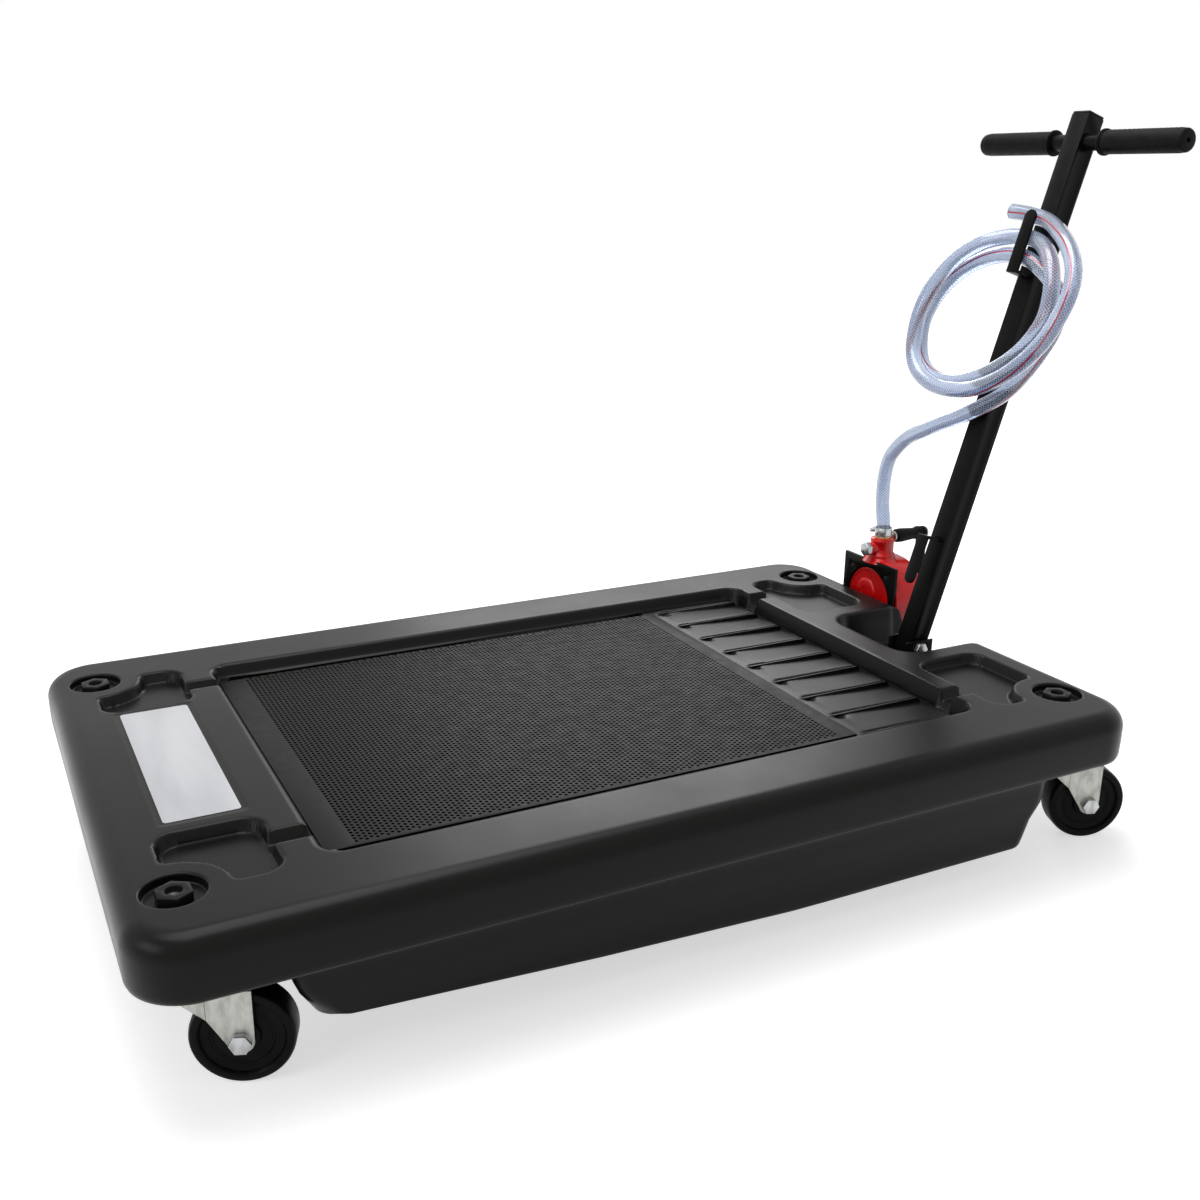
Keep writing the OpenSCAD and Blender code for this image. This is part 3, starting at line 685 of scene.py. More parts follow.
def make_stage():
    """Pale floor, white surroundings and soft overhead lights."""
    scene = bpy.context.scene
    settings = scene.drainer_stage
    scene.view_settings.view_transform = "Standard"
    world = bpy.data.worlds.new("studio")
    scene.world = world
    world.use_nodes = True
    tree = world.node_tree
    plain = tree.nodes["Background"]
    plain.inputs["Color"].default_value = (1, 1, 1, 1)
    plain.inputs["Strength"].default_value = settings.sky
    white = tree.nodes.new("ShaderNodeBackground")
    white.inputs["Color"].default_value = (1, 1, 1, 1)
    mix = tree.nodes.new("ShaderNodeMixShader")
    tree.links.new(seen_white(tree), mix.inputs["Fac"])
    tree.links.new(plain.outputs["Background"], mix.inputs[1])
    tree.links.new(white.outputs["Background"], mix.inputs[2])
    tree.links.new(mix.outputs["Shader"], tree.nodes["World Output"].inputs["Surface"])

    floor, tree, shader, add = material_named("studio_floor")
    shader.inputs["Base Color"].default_value = (*settings.floor, 1)
    shader.inputs["Roughness"].default_value = 0.9
    shader.inputs["Specular IOR Level"].default_value = 0.1
    where = add("ShaderNodeTexCoord")
    away = add("ShaderNodeVectorMath", operation="LENGTH")
    tree.links.new(where.outputs["Object"], away.inputs[0])
    lift = add("ShaderNodeMath", operation="MULTIPLY")
    tree.links.new(seen_white(tree), lift.inputs[0])
    tree.links.new(spread(tree, add, away.outputs["Value"], 0.6, 0.95, 1.0, 2.8), lift.inputs[1])
    shader.inputs["Emission Color"].default_value = (1, 1, 1, 1)
    tree.links.new(lift.outputs["Value"], shader.inputs["Emission Strength"])
    work = bmesh.new()
    floor_radius = 9
    bmesh.ops.create_circle(work, cap_ends=True, segments=64, radius=floor_radius)
    add_object("Floor", mesh_from("Floor", work), floor)

    centre = (0, 0, 0.2)
    area_light("Key", (-0.25, 0.35, 2.6), centre, 2.4, settings.key, 1.5)
    area_light("Fill", (-2.8, -0.5, 1.6), centre, 1.6, settings.key * 0.3, 1.0)
    area_light("Back", (1.4, 2.6, 1.7), centre, 1.6, settings.key * 0.42, 1.0)


def make_hose():
    """Clear braided hose from the pump's outlet, up to the handle and twice round its hook."""
    settings = bpy.context.scene.drainer_hose
    route = RISER_ROUTE + [along_handle(*p) for p in LOOP_ROUTE]
    line = spline(route, 5)
    sides = 20
    tangents = np.gradient(line, axis=0)
    tangents /= np.linalg.norm(tangents, axis=1)[:, None]
    runs = np.linalg.norm(np.diff(line, axis=0), axis=1)
    length = np.concatenate([[0], np.cumsum(runs)]) * MM
    side = np.cross(tangents[0], (0, 1, 0))
    frames = []
    for t in tangents:
        side = side - t * side.dot(t)
        side /= np.linalg.norm(side)
        frames.append((side, np.cross(t, side)))
    turns = np.arange(sides) * math.tau / sides

    def ring(i, radius, shift=0.0):
        a, b = frames[i]
        return line[i] + tangents[i] * shift + radius * (
            np.cos(turns)[:, None] * a + np.sin(turns)[:, None] * b
        )

    last = len(line) - 1
    bore = HOSE_R - settings.wall
    rings = [(0, bore), (0, HOSE_R - 0.6)]
    rings += [(i, HOSE_R) for i in range(len(line))]
    rings += [(last, HOSE_R - 0.4), (last, bore), (last - 4, bore), (last - 8, bore)]
    points = np.vstack([ring(i, r) for i, r in rings])
    faces = ring_faces(len(rings), sides)
    faces += [tuple(range(sides))[::-1], tuple(range((len(rings) - 1) * sides, len(rings) * sides))]
    mesh = bpy.data.meshes.new("Hose")
    mesh.from_pydata([tuple(p) for p in to_frame(points)], [], faces)
    lay = mesh.uv_layers.new(name="lay")
    along = np.repeat([length[i] for i, _ in rings], sides)
    for polygon in mesh.polygons:
        around = [(v % sides) / sides for v in polygon.vertices]
        wraps = max(around) - min(around) > 0.5
        for corner, vertex, share in zip(polygon.loop_indices, polygon.vertices, around):
            lay.data[corner].uv = (along[vertex], share + 1 if wraps and share < 0.5 else share)
    work = bmesh.new()
    work.from_mesh(mesh)
    bmesh.ops.recalc_face_normals(work, faces=work.faces)
    work.to_mesh(mesh)
    work.free()
    smooth(mesh, 50)
    hose = add_object("Hose", mesh, finish_of("hose"))
    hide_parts("hose_riser", "hose_loops")
    place(OUTLET_X, PUMP[1], 316)
    place(612, 57, 482)
    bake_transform(hose)
    place(*line[0])
    [tuple(p) for p in to_frame(line)]


# ---------------------------------------------------------------- the moulded tank


def outline(t, half_x, half_y, r, centre_x=0.0):
    """Points of a rounded rectangle at t, which counts its four sides and four corners in turn."""
    k = np.floor(t).astype(int) % 8
    f = t - np.floor(t)
    fx, fy = half_x - r, half_y - r
    x, y = np.zeros_like(f), np.zeros_like(f)
    for q in range(4):
        on, turn = k == 2 * q, k == 2 * q + 1
        way = 1 if q < 2 else -1
        if q % 2 == 0:
            x[on] = way * half_x
            y[on] = way * fy * (2 * f - 1)[on]
        else:
            x[on] = way * fx * (1 - 2 * f)[on]
            y[on] = way * half_y
        a = (f + q) * math.pi / 2
        cx = fx * (1 if q in (0, 3) else -1)
        cy = fy * (1 if q in (0, 1) else -1)
        x[turn], y[turn] = (cx + r * np.cos(a))[turn], (cy + r * np.sin(a))[turn]
    return x + centre_x, y


def place_on_outline(x, y, half_x, half_y, r):
    """The value of t at points on a rounded rectangle."""
    fx, fy = half_x - r, half_y - r
    t = np.zeros_like(x)
    corner = (np.abs(x) > fx) & (np.abs(y) > fy)
    flat_x = ~corner & (np.abs(y) <= fy)
    flat_y = ~corner & ~flat_x
    t = np.where(flat_x & (x > 0), (y + fy) / (2 * fy), t)
    t = np.where(flat_y & (y > 0), 2 + (fx - x) / (2 * fx), t)
    t = np.where(flat_x & (x < 0), 4 + (fy - y) / (2 * fy), t)
    t = np.where(flat_y & (y < 0), 6 + (x + fx) / (2 * fx), t)
    for q, (sx, sy) in enumerate(((1, 1), (-1, 1), (-1, -1), (1, -1))):
        a = np.arctan2(y - sy * fy, x - sx * fx) % math.tau
        share = np.clip(a / (math.pi / 2) - q, 0, 0.99999)
        t = np.where(corner & (x * sx > 0) & (y * sy > 0), 2 * q + 1 + share, t)
    return t


def inside_rectangle(x, y, x0, x1, y0, y1, r):
    """Distance in from the edge of a rounded rectangle."""
    qx = np.abs(x - (x0 + x1) / 2) - ((x1 - x0) / 2 - r)
    qy = np.abs(y - (y0 + y1) / 2) - ((y1 - y0) / 2 - r)
    return r - np.hypot(np.maximum(qx, 0), np.maximum(qy, 0)) - np.minimum(np.maximum(qx, qy), 0)


def soft_min(a, b, k):
    """The lesser of two values, rounded where they meet."""
    h = np.clip(1 - np.abs(a - b) / k, 0, 1)
    return np.minimum(a, b) - h * h * k / 4


def wall_drop(d, depth, lip, foot, slope=82):
    """Depth of a moulded wall at distance d in from its top edge: rounded lip, draft and rounded foot."""
    s = math.radians(slope)
    down = depth - (lip + foot) * (1 - math.cos(s))
    run = down / math.tan(s)
    turn = np.linspace(0, s, 9)
    foot_start = lip * np.sin(s) + run
    ds = np.concatenate([lip * np.sin(turn), foot_start + foot * (np.sin(s) - np.sin(turn[::-1]))])
    zs = np.concatenate([lip * (1 - np.cos(turn)), depth - foot * (1 - np.cos(turn[::-1]))])
    return np.interp(d, ds, zs)


def tank_bottom(x):
    """Height of the tank's underside, which falls towards the handle."""
    return np.interp(x, [-421, -140, 112, 453], [65, 46.5, 34.6, 33])


def groove_drop(x, y):
    """Depth of the ribbed panels beside the screen: a slope, a slot and a pit between two ribs."""
    place_in = (y + 4.5 * RIB_PITCH) / RIB_PITCH
    share = place_in - np.floor(place_in)
    from_rib = (share - 0.5) * RIB_PITCH
    rib = np.abs(from_rib)
    panel = np.interp(x, [266, 416], [0.6, 7.4]) * np.where(share < 0.5, share + 0.5, share - 0.5)
    slot = 3.4 * np.clip(1 - np.abs(from_rib - 3.4) / 1.9, 0, 1) ** 0.6
    tip = np.clip((x - 262) / 9, 0, 1)
    pit = 4.6 * np.exp(-(((x - 270) / 7) ** 2) - ((from_rib + 4.5) / 5.5) ** 2)
    return np.where(rib < 1.6, 0, np.maximum(panel, slot) * tip) + np.where(rib < 1.2, 0, pit)


def deck_height(x, y):
    """Height of the deck's top face."""
    settings = bpy.context.scene.drainer_deck
    top = np.full_like(x, DECK_Z)
    d_out = inside_rectangle(x, y, -HALF_L, HALF_L, -HALF_W, HALF_W, CORNER_R)
    short = np.clip(EDGE_R - d_out, 0, EDGE_R)
    top -= EDGE_R - np.sqrt(EDGE_R**2 - short**2)
    z = top - wall_drop(inside_rectangle(x, y, *RECESS_TOP), RECESS_DEPTH, settings.recess_lip, 3)
    ay = np.abs(y)
    boss = np.hypot(np.abs(x) - CASTER_X, ay - CASTER_Y) - NUT_BOSS_R
    for pocket in POCKETS:
        inside = soft_min(inside_rectangle(x, ay, *pocket), boss, 12)
        z = np.minimum(z, top - wall_drop(inside, POCKET_DEPTH, settings.lip, 4))
    for channel in CHANNELS:
        inside = inside_rectangle(x, ay, *channel)
        z = np.minimum(z, top - wall_drop(inside, POCKET_DEPTH, settings.lip, 4))
    flare = 16 * (np.maximum(x - 566, 0) / 32) ** 2
    notch = inside_rectangle(x, y, *NOTCH) + flare
    z = np.minimum(z, top - wall_drop(notch, DECK_Z - SHELF_Z, 9, 7, 84))
    z -= 0.8 * np.clip(inside_rectangle(x, y, *LABEL_SEAT) / 1.2, 0, 1)

    recess = inside_rectangle(x, y, *RECESS_FLOOR)
    inner = np.clip((recess - 2) / 6, 0, 1)
    ribs = np.where((x > 258) & (x < 404), groove_drop(x, y), 0)
    cross = 8 * np.clip((x - 398) / 4, 0, 1) * np.clip(recess / 3, 0, 1) * (x < 418)
    z = np.where(recess > 0, z - np.maximum(ribs * inner, cross), z)
    beside_screen = np.clip((250 - x) / 6, 0, 1) * np.clip((x + 396) / 6, 0, 1)
    ledge = 2.6 * np.exp(-(((ay - 270) / 1.7) ** 2)) * beside_screen
    z = np.where(recess > 0, z + ledge, z)
    basin = inside_rectangle(x, y, *BASIN)
    floor = tank_bottom(x) + 8
    z = np.where(basin > 0, z - wall_drop(basin, 100, 1.2, 4, 87) / 100 * (PLATE_Z - floor), z)
    return z


def grid_lines(*spans):
    """Sorted positions from spans of (start, stop, step) and single extra positions."""
    values = []
    for span in spans:
        if isinstance(span, tuple):
            start, stop, step = span
            values += list(np.linspace(start, stop, max(2, round((stop - start) / step) + 1)))
        else:
            values.append(span)
    values = np.unique(np.round(values, 3))
    keep = np.concatenate([[True], np.diff(values) > 0.45])
    return values[keep]


def deck_grid():
    """Points and quads of the deck's top, with a round hole at each caster."""
    fine = bpy.context.scene.drainer_deck.fine
    inset = 18
    half_x, half_y, r = HALF_L - inset, HALF_W - inset, CORNER_R - inset
    xs = grid_lines(
        (-half_x, -552, 4), (-552, -386, fine), (-384, 238, 62), -386, -384.5, -383, -380, 236, 239.2, 241,
        (244, 262, 4), (262, 284, 2), (284, 394, 9), (394, half_x, fine),
    )
    rows = [(i - 4) * RIB_PITCH for i in range(9)]
    edges = [y + d for y in rows for d in (-1.6, -1.1, 1.1, 1.6, 3.4, 5.2)]
    ys = grid_lines(
        *edges, -265, -262.8, -260, 264.8, 267, 268.5, 270, 271.5, 273, -268.5, -270, -271.5,
        (-half_y, half_y, fine * 1.05),
    )
    x, y = (a.ravel() for a in np.meshgrid(xs, ys, indexing="ij"))
    fx, fy = half_x - r, half_y - r
    ox, oy = np.abs(x) - fx, np.abs(y) - fy
    away = np.hypot(ox, oy)
    out = (ox > 0) & (oy > 0) & (away > r + 1e-6)
    scale = np.where(out, r / np.maximum(away, 1), 1)
    x = np.where(out, np.sign(x) * (fx + ox * scale), x)
    y = np.where(out, np.sign(y) * (fy + oy * scale), y)
    held = out.copy()
    for cx, cy in CASTERS:
        gap = np.hypot(x - cx, y - cy)
        near = gap < NUT_HOLE_R
        scale = np.where(near, NUT_HOLE_R / np.maximum(gap, 0.01), 1)
        x = np.where(near, cx + (x - cx) * scale, x)
        y = np.where(near, cy + (y - cy) * scale, y)
        held |= near
    ny = len(ys)
    i, j = (a.ravel() for a in np.meshgrid(np.arange(len(xs) - 1), np.arange(ny - 1), indexing="ij"))
    a = i * ny + j
    quads = np.stack([a, a + ny, a + ny + 1, a + 1], axis=1)
    quads = quads[~held[quads].all(axis=1)]
    used, quads = np.unique(quads, return_inverse=True)
    return x[used], y[used], quads.reshape(-1, 4), (half_x, half_y, r)


def arch_push(x, y, z):
    """Moves the tank's rear corners out of the way of the swinging wheels."""
    reach = np.interp(z, [66, 106, 124, 136], [107, 72, 68, 62])
    dx, dy = x - CASTER_X, np.abs(y) - CASTER_Y
    away = np.hypot(dx, dy)
    hit = (away < reach) & (x < CASTER_X)
    scale = np.where(hit, reach / np.maximum(away, 1), 1)
    limit = np.abs(y)
    new_y = np.minimum(CASTER_Y + dy * scale, np.maximum(limit, CASTER_Y))
    past_side = hit & (dy * scale + CASTER_Y > limit)
    on_arch = CASTER_X - np.sqrt(np.maximum(reach**2 - (new_y - CASTER_Y) ** 2, 0))
    new_x = np.where(past_side, on_arch, CASTER_X + dx * scale)
    return np.where(hit, np.minimum(new_x, x), x), np.where(hit, np.sign(y) * new_y, y)


def make_deck():
    """The moulded tank: deck, rounded rim, underside and the tank below it."""
    x, y, quads, (half_x, half_y, r) = deck_grid()
    z = deck_height(x, y)
    points = [np.stack([x, y, z], axis=1)]
    faces = [tuple(q) for q in quads]
    count = len(x)

    def add_ring(base, ring_x, ring_y, ring_z):
        """Adds a ring of points, joined to the ring before it, and returns it."""
        nonlocal count
        n = len(base)
        points.append(np.stack([ring_x, ring_y, ring_z], axis=1))
        new = np.arange(count, count + n)
        count += n
        faces.extend((base[k], base[(k + 1) % n], new[(k + 1) % n], new[k]) for k in range(n))
        return new

    edge = np.sort(np.concatenate([quads[:, [k, (k + 1) % 4]] for k in range(4)]), axis=1)
    pairs, times = np.unique(edge, axis=0, return_counts=True)
    rim = np.unique(pairs[times == 1])
    seats = set()
    for cx, cy in CASTERS:
        ring = rim[np.hypot(x[rim] - cx, y[rim] - cy) < NUT_HOLE_R + 0.5]
        seats.update(ring)
        ring = ring[np.argsort(np.arctan2(y[ring] - cy, x[ring] - cx))]
        turn = np.arctan2(y[ring] - cy, x[ring] - cx)
        base = ring
        for radius, height in NUT_SEAT:
            level = np.full(len(ring), float(height))
            if height > DECK_Z - 1:
                level = np.minimum(height, z[ring] - 0.05)
            base = add_ring(base, cx + radius * np.cos(turn), cy + radius * np.sin(turn), level)
        faces.append(tuple(base))

    outer = np.array([v for v in rim if v not in seats])
    t = place_on_outline(x[outer], y[outer], half_x, half_y, r)
    order = np.argsort(t)
    outer, t = outer[order], t[order]
    field = z[outer]
    base = outer
    profile = [
        (EDGE_R * (1 - math.sin(a)), DECK_Z - EDGE_R * (1 - math.cos(a)))
        for a in np.radians([27, 35, 43, 52, 61, 71, 81, 90])
    ]
    profile += [(0, 160), (0.4, 146), (0.8, 141), (2.2, 137.4), (5, 136)]
    for inset, level in profile:
        ring_x, ring_y = outline(t, HALF_L - inset, HALF_W - inset, CORNER_R - inset)
        base = add_ring(base, ring_x, ring_y, np.minimum(field, level))
    tank = [
        (136, 16), (134.6, 10.5), (131, 5), (126, 1.6), (119, 0), (106, 0), (92, 0), (66, 0), (52, 0),
        (44, 0), (37, -0.2), (34.5, -1), (33, -3),
    ]
    for level, flare in tank:
        left = np.interp(level, [33, 66, 92, 113], [-421, -434, -448, -456])
        right = np.interp(level, [33, 92, 113], [453, 476, 478])
        half = np.interp(level, [33, 73, 92, 113], [343, 344, 348, 350])
        half_run, middle = (right - left) / 2, (right + left) / 2
        ring_x, ring_y = outline(t, half_run + flare, half + flare, 22 + max(flare, 0), middle)
        ring_z = np.full(len(t), float(level))
        if level < 70:
            share = (level - 33) / 33
            ring_z = tank_bottom(ring_x) + share * (69 - tank_bottom(ring_x))
        ring_x, ring_y = arch_push(ring_x, ring_y, ring_z)
        base = add_ring(base, ring_x, ring_y, ring_z)
    faces.append(tuple(base))
    boss = [(0.01, 137), (32, 137), (32, 125), (31, 124), (0.01, 124)]
    bosses = [lathe(boss, (cx, cy, 0), (0, 0, 1), 40) for cx, cy in CASTERS]
    shape = joined((np.vstack(points), faces), *bosses)
    deck = add_object("Tank", mesh_of("Tank", *shape, 50), finish_of("deck"))
    finished(deck, "root", "deck_plastic", "tank_body")


# ---------------------------------------------------------------- screen


def cell_mesh(hole, thick):
    """One six-sided cell of the screen at the origin, with a round hole where hole is over nought."""
    corners = [(3.681, 0), (1.819, 3.2), (-1.819, 3.2), (-3.681, 0), (-1.819, -3.2), (1.819, -3.2)]
    angles = [math.atan2(cy, cx) % math.tau for cx, cy in corners[1:]] + [math.tau]
    sides = 8
    spokes = [k * math.tau / sides for k in range(sides)]
    inner = [(hole / 2 * math.cos(a), hole / 2 * math.sin(a)) for a in spokes]
    work = bmesh.new()
    layers = []
    for z in (0, thick):
        outer = [work.verts.new((cx * MM, cy * MM, z * MM)) for cx, cy in corners]
        if hole <= 0:
            work.faces.new(outer if z else outer[::-1])
            continue
        ring = [work.verts.new((cx * MM, cy * MM, z * MM)) for cx, cy in inner]
        layers.append(ring)
        i = j = 0
        while i < 6 or j < sides:
            if j >= sides or (i < 6 and angles[i] <= (j + 1) * math.tau / sides + 1e-6):
                face = [outer[i % 6], outer[(i + 1) % 6], ring[j % sides]]
                i += 1
            else:
                face = [outer[i % 6], ring[(j + 1) % sides], ring[j % sides]]
                j += 1
            work.faces.new(face if z else face[::-1])
    if layers:
        low, high = layers
        for k in range(sides):
            m = (k + 1) % sides
            work.faces.new((low[k], low[m], high[m], high[k]))
    return mesh_from("cell", work)


def lattice_tree(material):
    """Geometry tree that repeats its input over a rectangular lattice."""
    tree, add, link = node_tree(
        "lattice", Columns="Int", Rows="Int", **{"Step X": "Float", "Step Y": "Float", "Start": "Vector"}
    )
    source = add("NodeGroupInput")
    spans = []
    for label, step in (("Columns", "Step X"), ("Rows", "Step Y")):
        less = add("ShaderNodeMath", {"operation": "SUBTRACT"})
        less.inputs[1].default_value = 1
        span = add("ShaderNodeMath", {"operation": "MULTIPLY"})
        link(source.outputs[label], less.inputs[0])
        link(less.outputs["Value"], span.inputs[0])
        link(source.outputs[step], span.inputs[1])
        spans.append(span.outputs["Value"])
    grid = add("GeometryNodeMeshGrid", Size_X=spans[0], Size_Y=spans[1])
    link(source.outputs["Columns"], grid.inputs["Vertices X"])
    link(source.outputs["Rows"], grid.inputs["Vertices Y"])
    repeat = add("GeometryNodeInstanceOnPoints", Points=grid.outputs["Mesh"])
    link(source.outputs["Geometry"], repeat.inputs["Instance"])
    moved = add("GeometryNodeTransform")
    link(repeat.outputs["Instances"], moved.inputs["Geometry"])
    link(source.outputs["Start"], moved.inputs["Translation"])
    end_tree(add, link, moved.outputs["Geometry"], material)
    return tree


def make_screen():
    """The lift-out sheet with its field of drain holes and a plain border."""
    settings = bpy.context.scene.drainer_screen
    low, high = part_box("drain_screen")
    material = finish_of("screen")
    tree = lattice_tree(material)
    step_x, step_y = COLUMN_STEP * MM, settings.pitch * MM
    columns, rows = 108, 76
    centre = place(SCREEN_X, 0, PLATE_Z)
    first_x = centre.x - (columns - 1) / 2 * step_x
    first_y = centre.y - (rows - 0.5) / 2 * step_y
    kinds = {kind: cell_mesh(kind, settings.thickness) for kind in (settings.hole, 0)}

    def lattice(kind, number, lines, x, y):
        piece = linked("part", kinds[kind].copy())
        start = (x + (number - 1) * step_x, y + (lines - 1) / 2 * step_y, PLATE_Z * MM)
        values = {"Columns": number, "Rows": lines, "Step X": 2 * step_x, "Step Y": step_y, "Start": start}
        run_tree(piece, tree, **values)
        mesh = piece.data
        bpy.data.objects.remove(piece)
        return mesh

    half = columns // 2
    for side in range(2):
        x = first_x + side * half * step_x
        work = bmesh.new()
        number = half // 2
        for mesh in (
            lattice(settings.hole, number, rows, x, first_y),
            lattice(settings.hole, number, rows, x + step_x, first_y + step_y / 2),
            lattice(0, number, 1, x + step_x, first_y - step_y / 2),
            lattice(0, number, 1, x, first_y + rows * step_y),
        ):
            work.from_mesh(mesh)
        bmesh.ops.remove_doubles(work, verts=work.verts, dist=0.00003)
        top = (PLATE_Z + settings.thickness) * MM
        rim = [e for e in work.edges if e.is_boundary and all(v.co.z > top - 0.0002 for v in e.verts)]
        walls = bmesh.ops.extrude_edge_only(work, edges=rim)["geom"]
        fresh = [v for v in walls if isinstance(v, bmesh.types.BMVert)]
        bmesh.ops.translate(work, verts=fresh, vec=(0, 0, -settings.thickness * MM))
        bmesh.ops.remove_doubles(work, verts=work.verts, dist=0.00003)
        bmesh.ops.recalc_face_normals(work, faces=work.faces)
        name = f"Screen_{side + 1}"
        piece = add_object(name, mesh_from(name, work), material)
        finished(piece, "screen", "black_steel", "drain_screen")

    def corners(x0, x1, y0, y1, z):
        return [(x0, y0, z), (x1, y0, z), (x1, y1, z), (x0, y1, z)]

    # The border starts inside the outer cells: past the first and last columns and rows of holes
    past_x, past_low_y, past_high_y = 2.0 * MM, 2.7 * MM, 5.9 * MM
    edge_x = (first_x - past_x, first_x + (columns - 1) * step_x + past_x)
    edge_y = (first_y - past_low_y, first_y + (rows - 1) * step_y + past_high_y)
    levels = (low.z - 0.0001, high.z + 0.00012)
    points = [p for z in levels for p in corners(low.x, high.x, low.y, high.y, z)]
    points += [p for z in levels for p in corners(*edge_x, *edge_y, z)]
    faces = []
    for k in range(4):
        m = (k + 1) % 4
        faces += [(k, m, 4 + m, 4 + k), (8 + m, 8 + k, 12 + k, 12 + m)]
        faces += [(4 + k, 4 + m, 12 + m, 12 + k), (m, k, 8 + k, 8 + m)]
    mesh = bpy.data.meshes.new("Screen_border")
    mesh.from_pydata(points, [], faces)
    border = bevelled(add_object("Screen_border", mesh, material), 0.35, 2)
    finished(border, "screen", "black_steel", "drain_screen")


# ---------------------------------------------------------------- metalwork


def merged(name, material, *pieces):
    """Several finished shapes as one piece."""
    work = bmesh.new()
    for piece in pieces:
        work.from_mesh(piece.data)
        old = piece.data
        bpy.data.objects.remove(piece)
        bpy.data.meshes.remove(old)
    mesh = mesh_from(name, work)
    smooth(mesh, 40)
    return add_object(name, mesh, material)


def turned(name, profile, origin, axis, material, steps=48):
    """A turned piece."""
    return add_object(name, mesh_of(name, *lathe(profile, origin, axis, steps)), material)


def polygon_bar(name, flats, sides, origin, axis, length, material, edge=0.6):
    """A hexagonal or square bar end, chamfered all round, by its distance across flats."""
    r = flats / 2 / math.cos(math.pi / sides)
    piece = turned(name, [(0.001, 0), (r, 0), (r, length), (0.001, length)], origin, axis, material, sides)
    return bevelled(piece, edge, 2)


def dress_nodes(body, slot, key, width, *nodes):
    """Rounded copies of plain nodes in one material, each in its node's place."""
    for node in nodes:
        piece = softened(node, f"{node}_finish", finish_of(key), width)
        finished(piece, body, slot, node)


def make_casters():
    """Four swivel casters: pressed forks, moulded wheels, bushes and axle bolts."""
    settings = bpy.context.scene.drainer_metal
    zinc, nylon = finish_of("zinc"), finish_of("wheel")
    c, s = math.cos(CASTER_TURN), math.sin(CASTER_TURN)
    leg_r, leg_top, crown_top, crown_half, crown_r = 13, 104, 110, 20.6, 27
    heel, shoulder = 22, 74.2
    round_end = [
        (TRAIL + leg_r * math.cos(a), WHEEL_R + leg_r * math.sin(a))
        for a in np.radians(np.arange(200, 361, 10))
    ]
    back = [(heel, leg_top), (heel, shoulder), *round_end, (TRAIL + leg_r, leg_top)]
    front = [(-4, leg_top), (-4, 98), (heel, shoulder), (heel, leg_top)]
    crown = [(TRAIL + leg_r, -crown_half), (TRAIL + leg_r, crown_half), (18, crown_half)]
    crown += [(crown_r * math.cos(a), crown_r * math.sin(a)) for a in np.radians(np.arange(54, 307, 12))]
    crown += [(18, -crown_half)]
    half = [
        (8.9, 15.6), (15, 15.6), (16.6, 15.2), (17.4, 14), (18, 11.4), (27, 11), (28.2, 12), (29.6, 12),
        (31, 11), (37, 10.8), (39, 11.6), (40.2, 14.4), (41.6, 15.9), (45.4, 16), (48, 15), (49.5, 12.8),
        (50, 10),
    ]
    profile = half + [(50, 0)] + [(r, -h) for r, h in half[::-1]]
    for k, (px, py) in enumerate(CASTERS, 1):

        def local(u, v, w):
            return (px + c * u - s * w, py + s * u + c * w, v)

        parts = []
        for side in (-1, 1):
            def leg(u, v, h, side=side):
                return local(u, v, side * (h + max(0, heel - u) * 0.13))

            parts += [prism("leg", shape, leg, 18, 21, zinc, 0.7) for shape in (back, front)]
        parts.append(prism("crown", crown, lambda u, w, h: local(u, h, w), leg_top, crown_top, zinc, 1.4))
        finished(merged(f"Fork_{k}", zinc, *parts), f"fork_{k}", "zinc", f"caster_fork_{k}")
        axle = local(TRAIL, WHEEL_R, 0)
        wheel = turned(f"Wheel_{k}", profile + [profile[0]], axle, (-s, c, 0), nylon, 72)
        finished(wheel, f"wheel_{k}", "wheel_plastic", f"caster_wheel_{k}")
        dress_nodes(f"wheel_{k}", "bronze", "bronze", settings.edge / 2, f"wheel_bush_{k}")
        dress_nodes(f"fork_{k}", "zinc", "fastener", settings.edge, f"caster_axle_{k}", f"caster_nut_{k}")
    dress_nodes("root", "zinc", "zinc", settings.edge, "caster_stems", "swivel_races")
    dress_nodes("root", "black_steel", "dark_nut", 1.6, "caster_stem_nuts")


def make_handle():
    """The leaning tube with its bracket, cap, cross bar and hose hooks."""
    edge = bpy.context.scene.drainer_metal.edge
    dress_nodes("handle", "black_steel", "black", 2.4, "handle_pole")
    dress_nodes("handle", "black_cap", "cap", 2.6, "pole_cap")
    dress_nodes("handle", "black_steel", "black", edge, "cross_bar", "hose_hook_upper", "hose_hook_lower")
    dress_nodes("root", "black_steel", "black", edge, "handle_bracket")
    dress_nodes("root", "zinc", "fastener", edge, "bracket_bolts", "hinge_bolt", "hinge_nut")
    dress_nodes("root", "black_cap", "cap", 0.3, "hinge_washers")


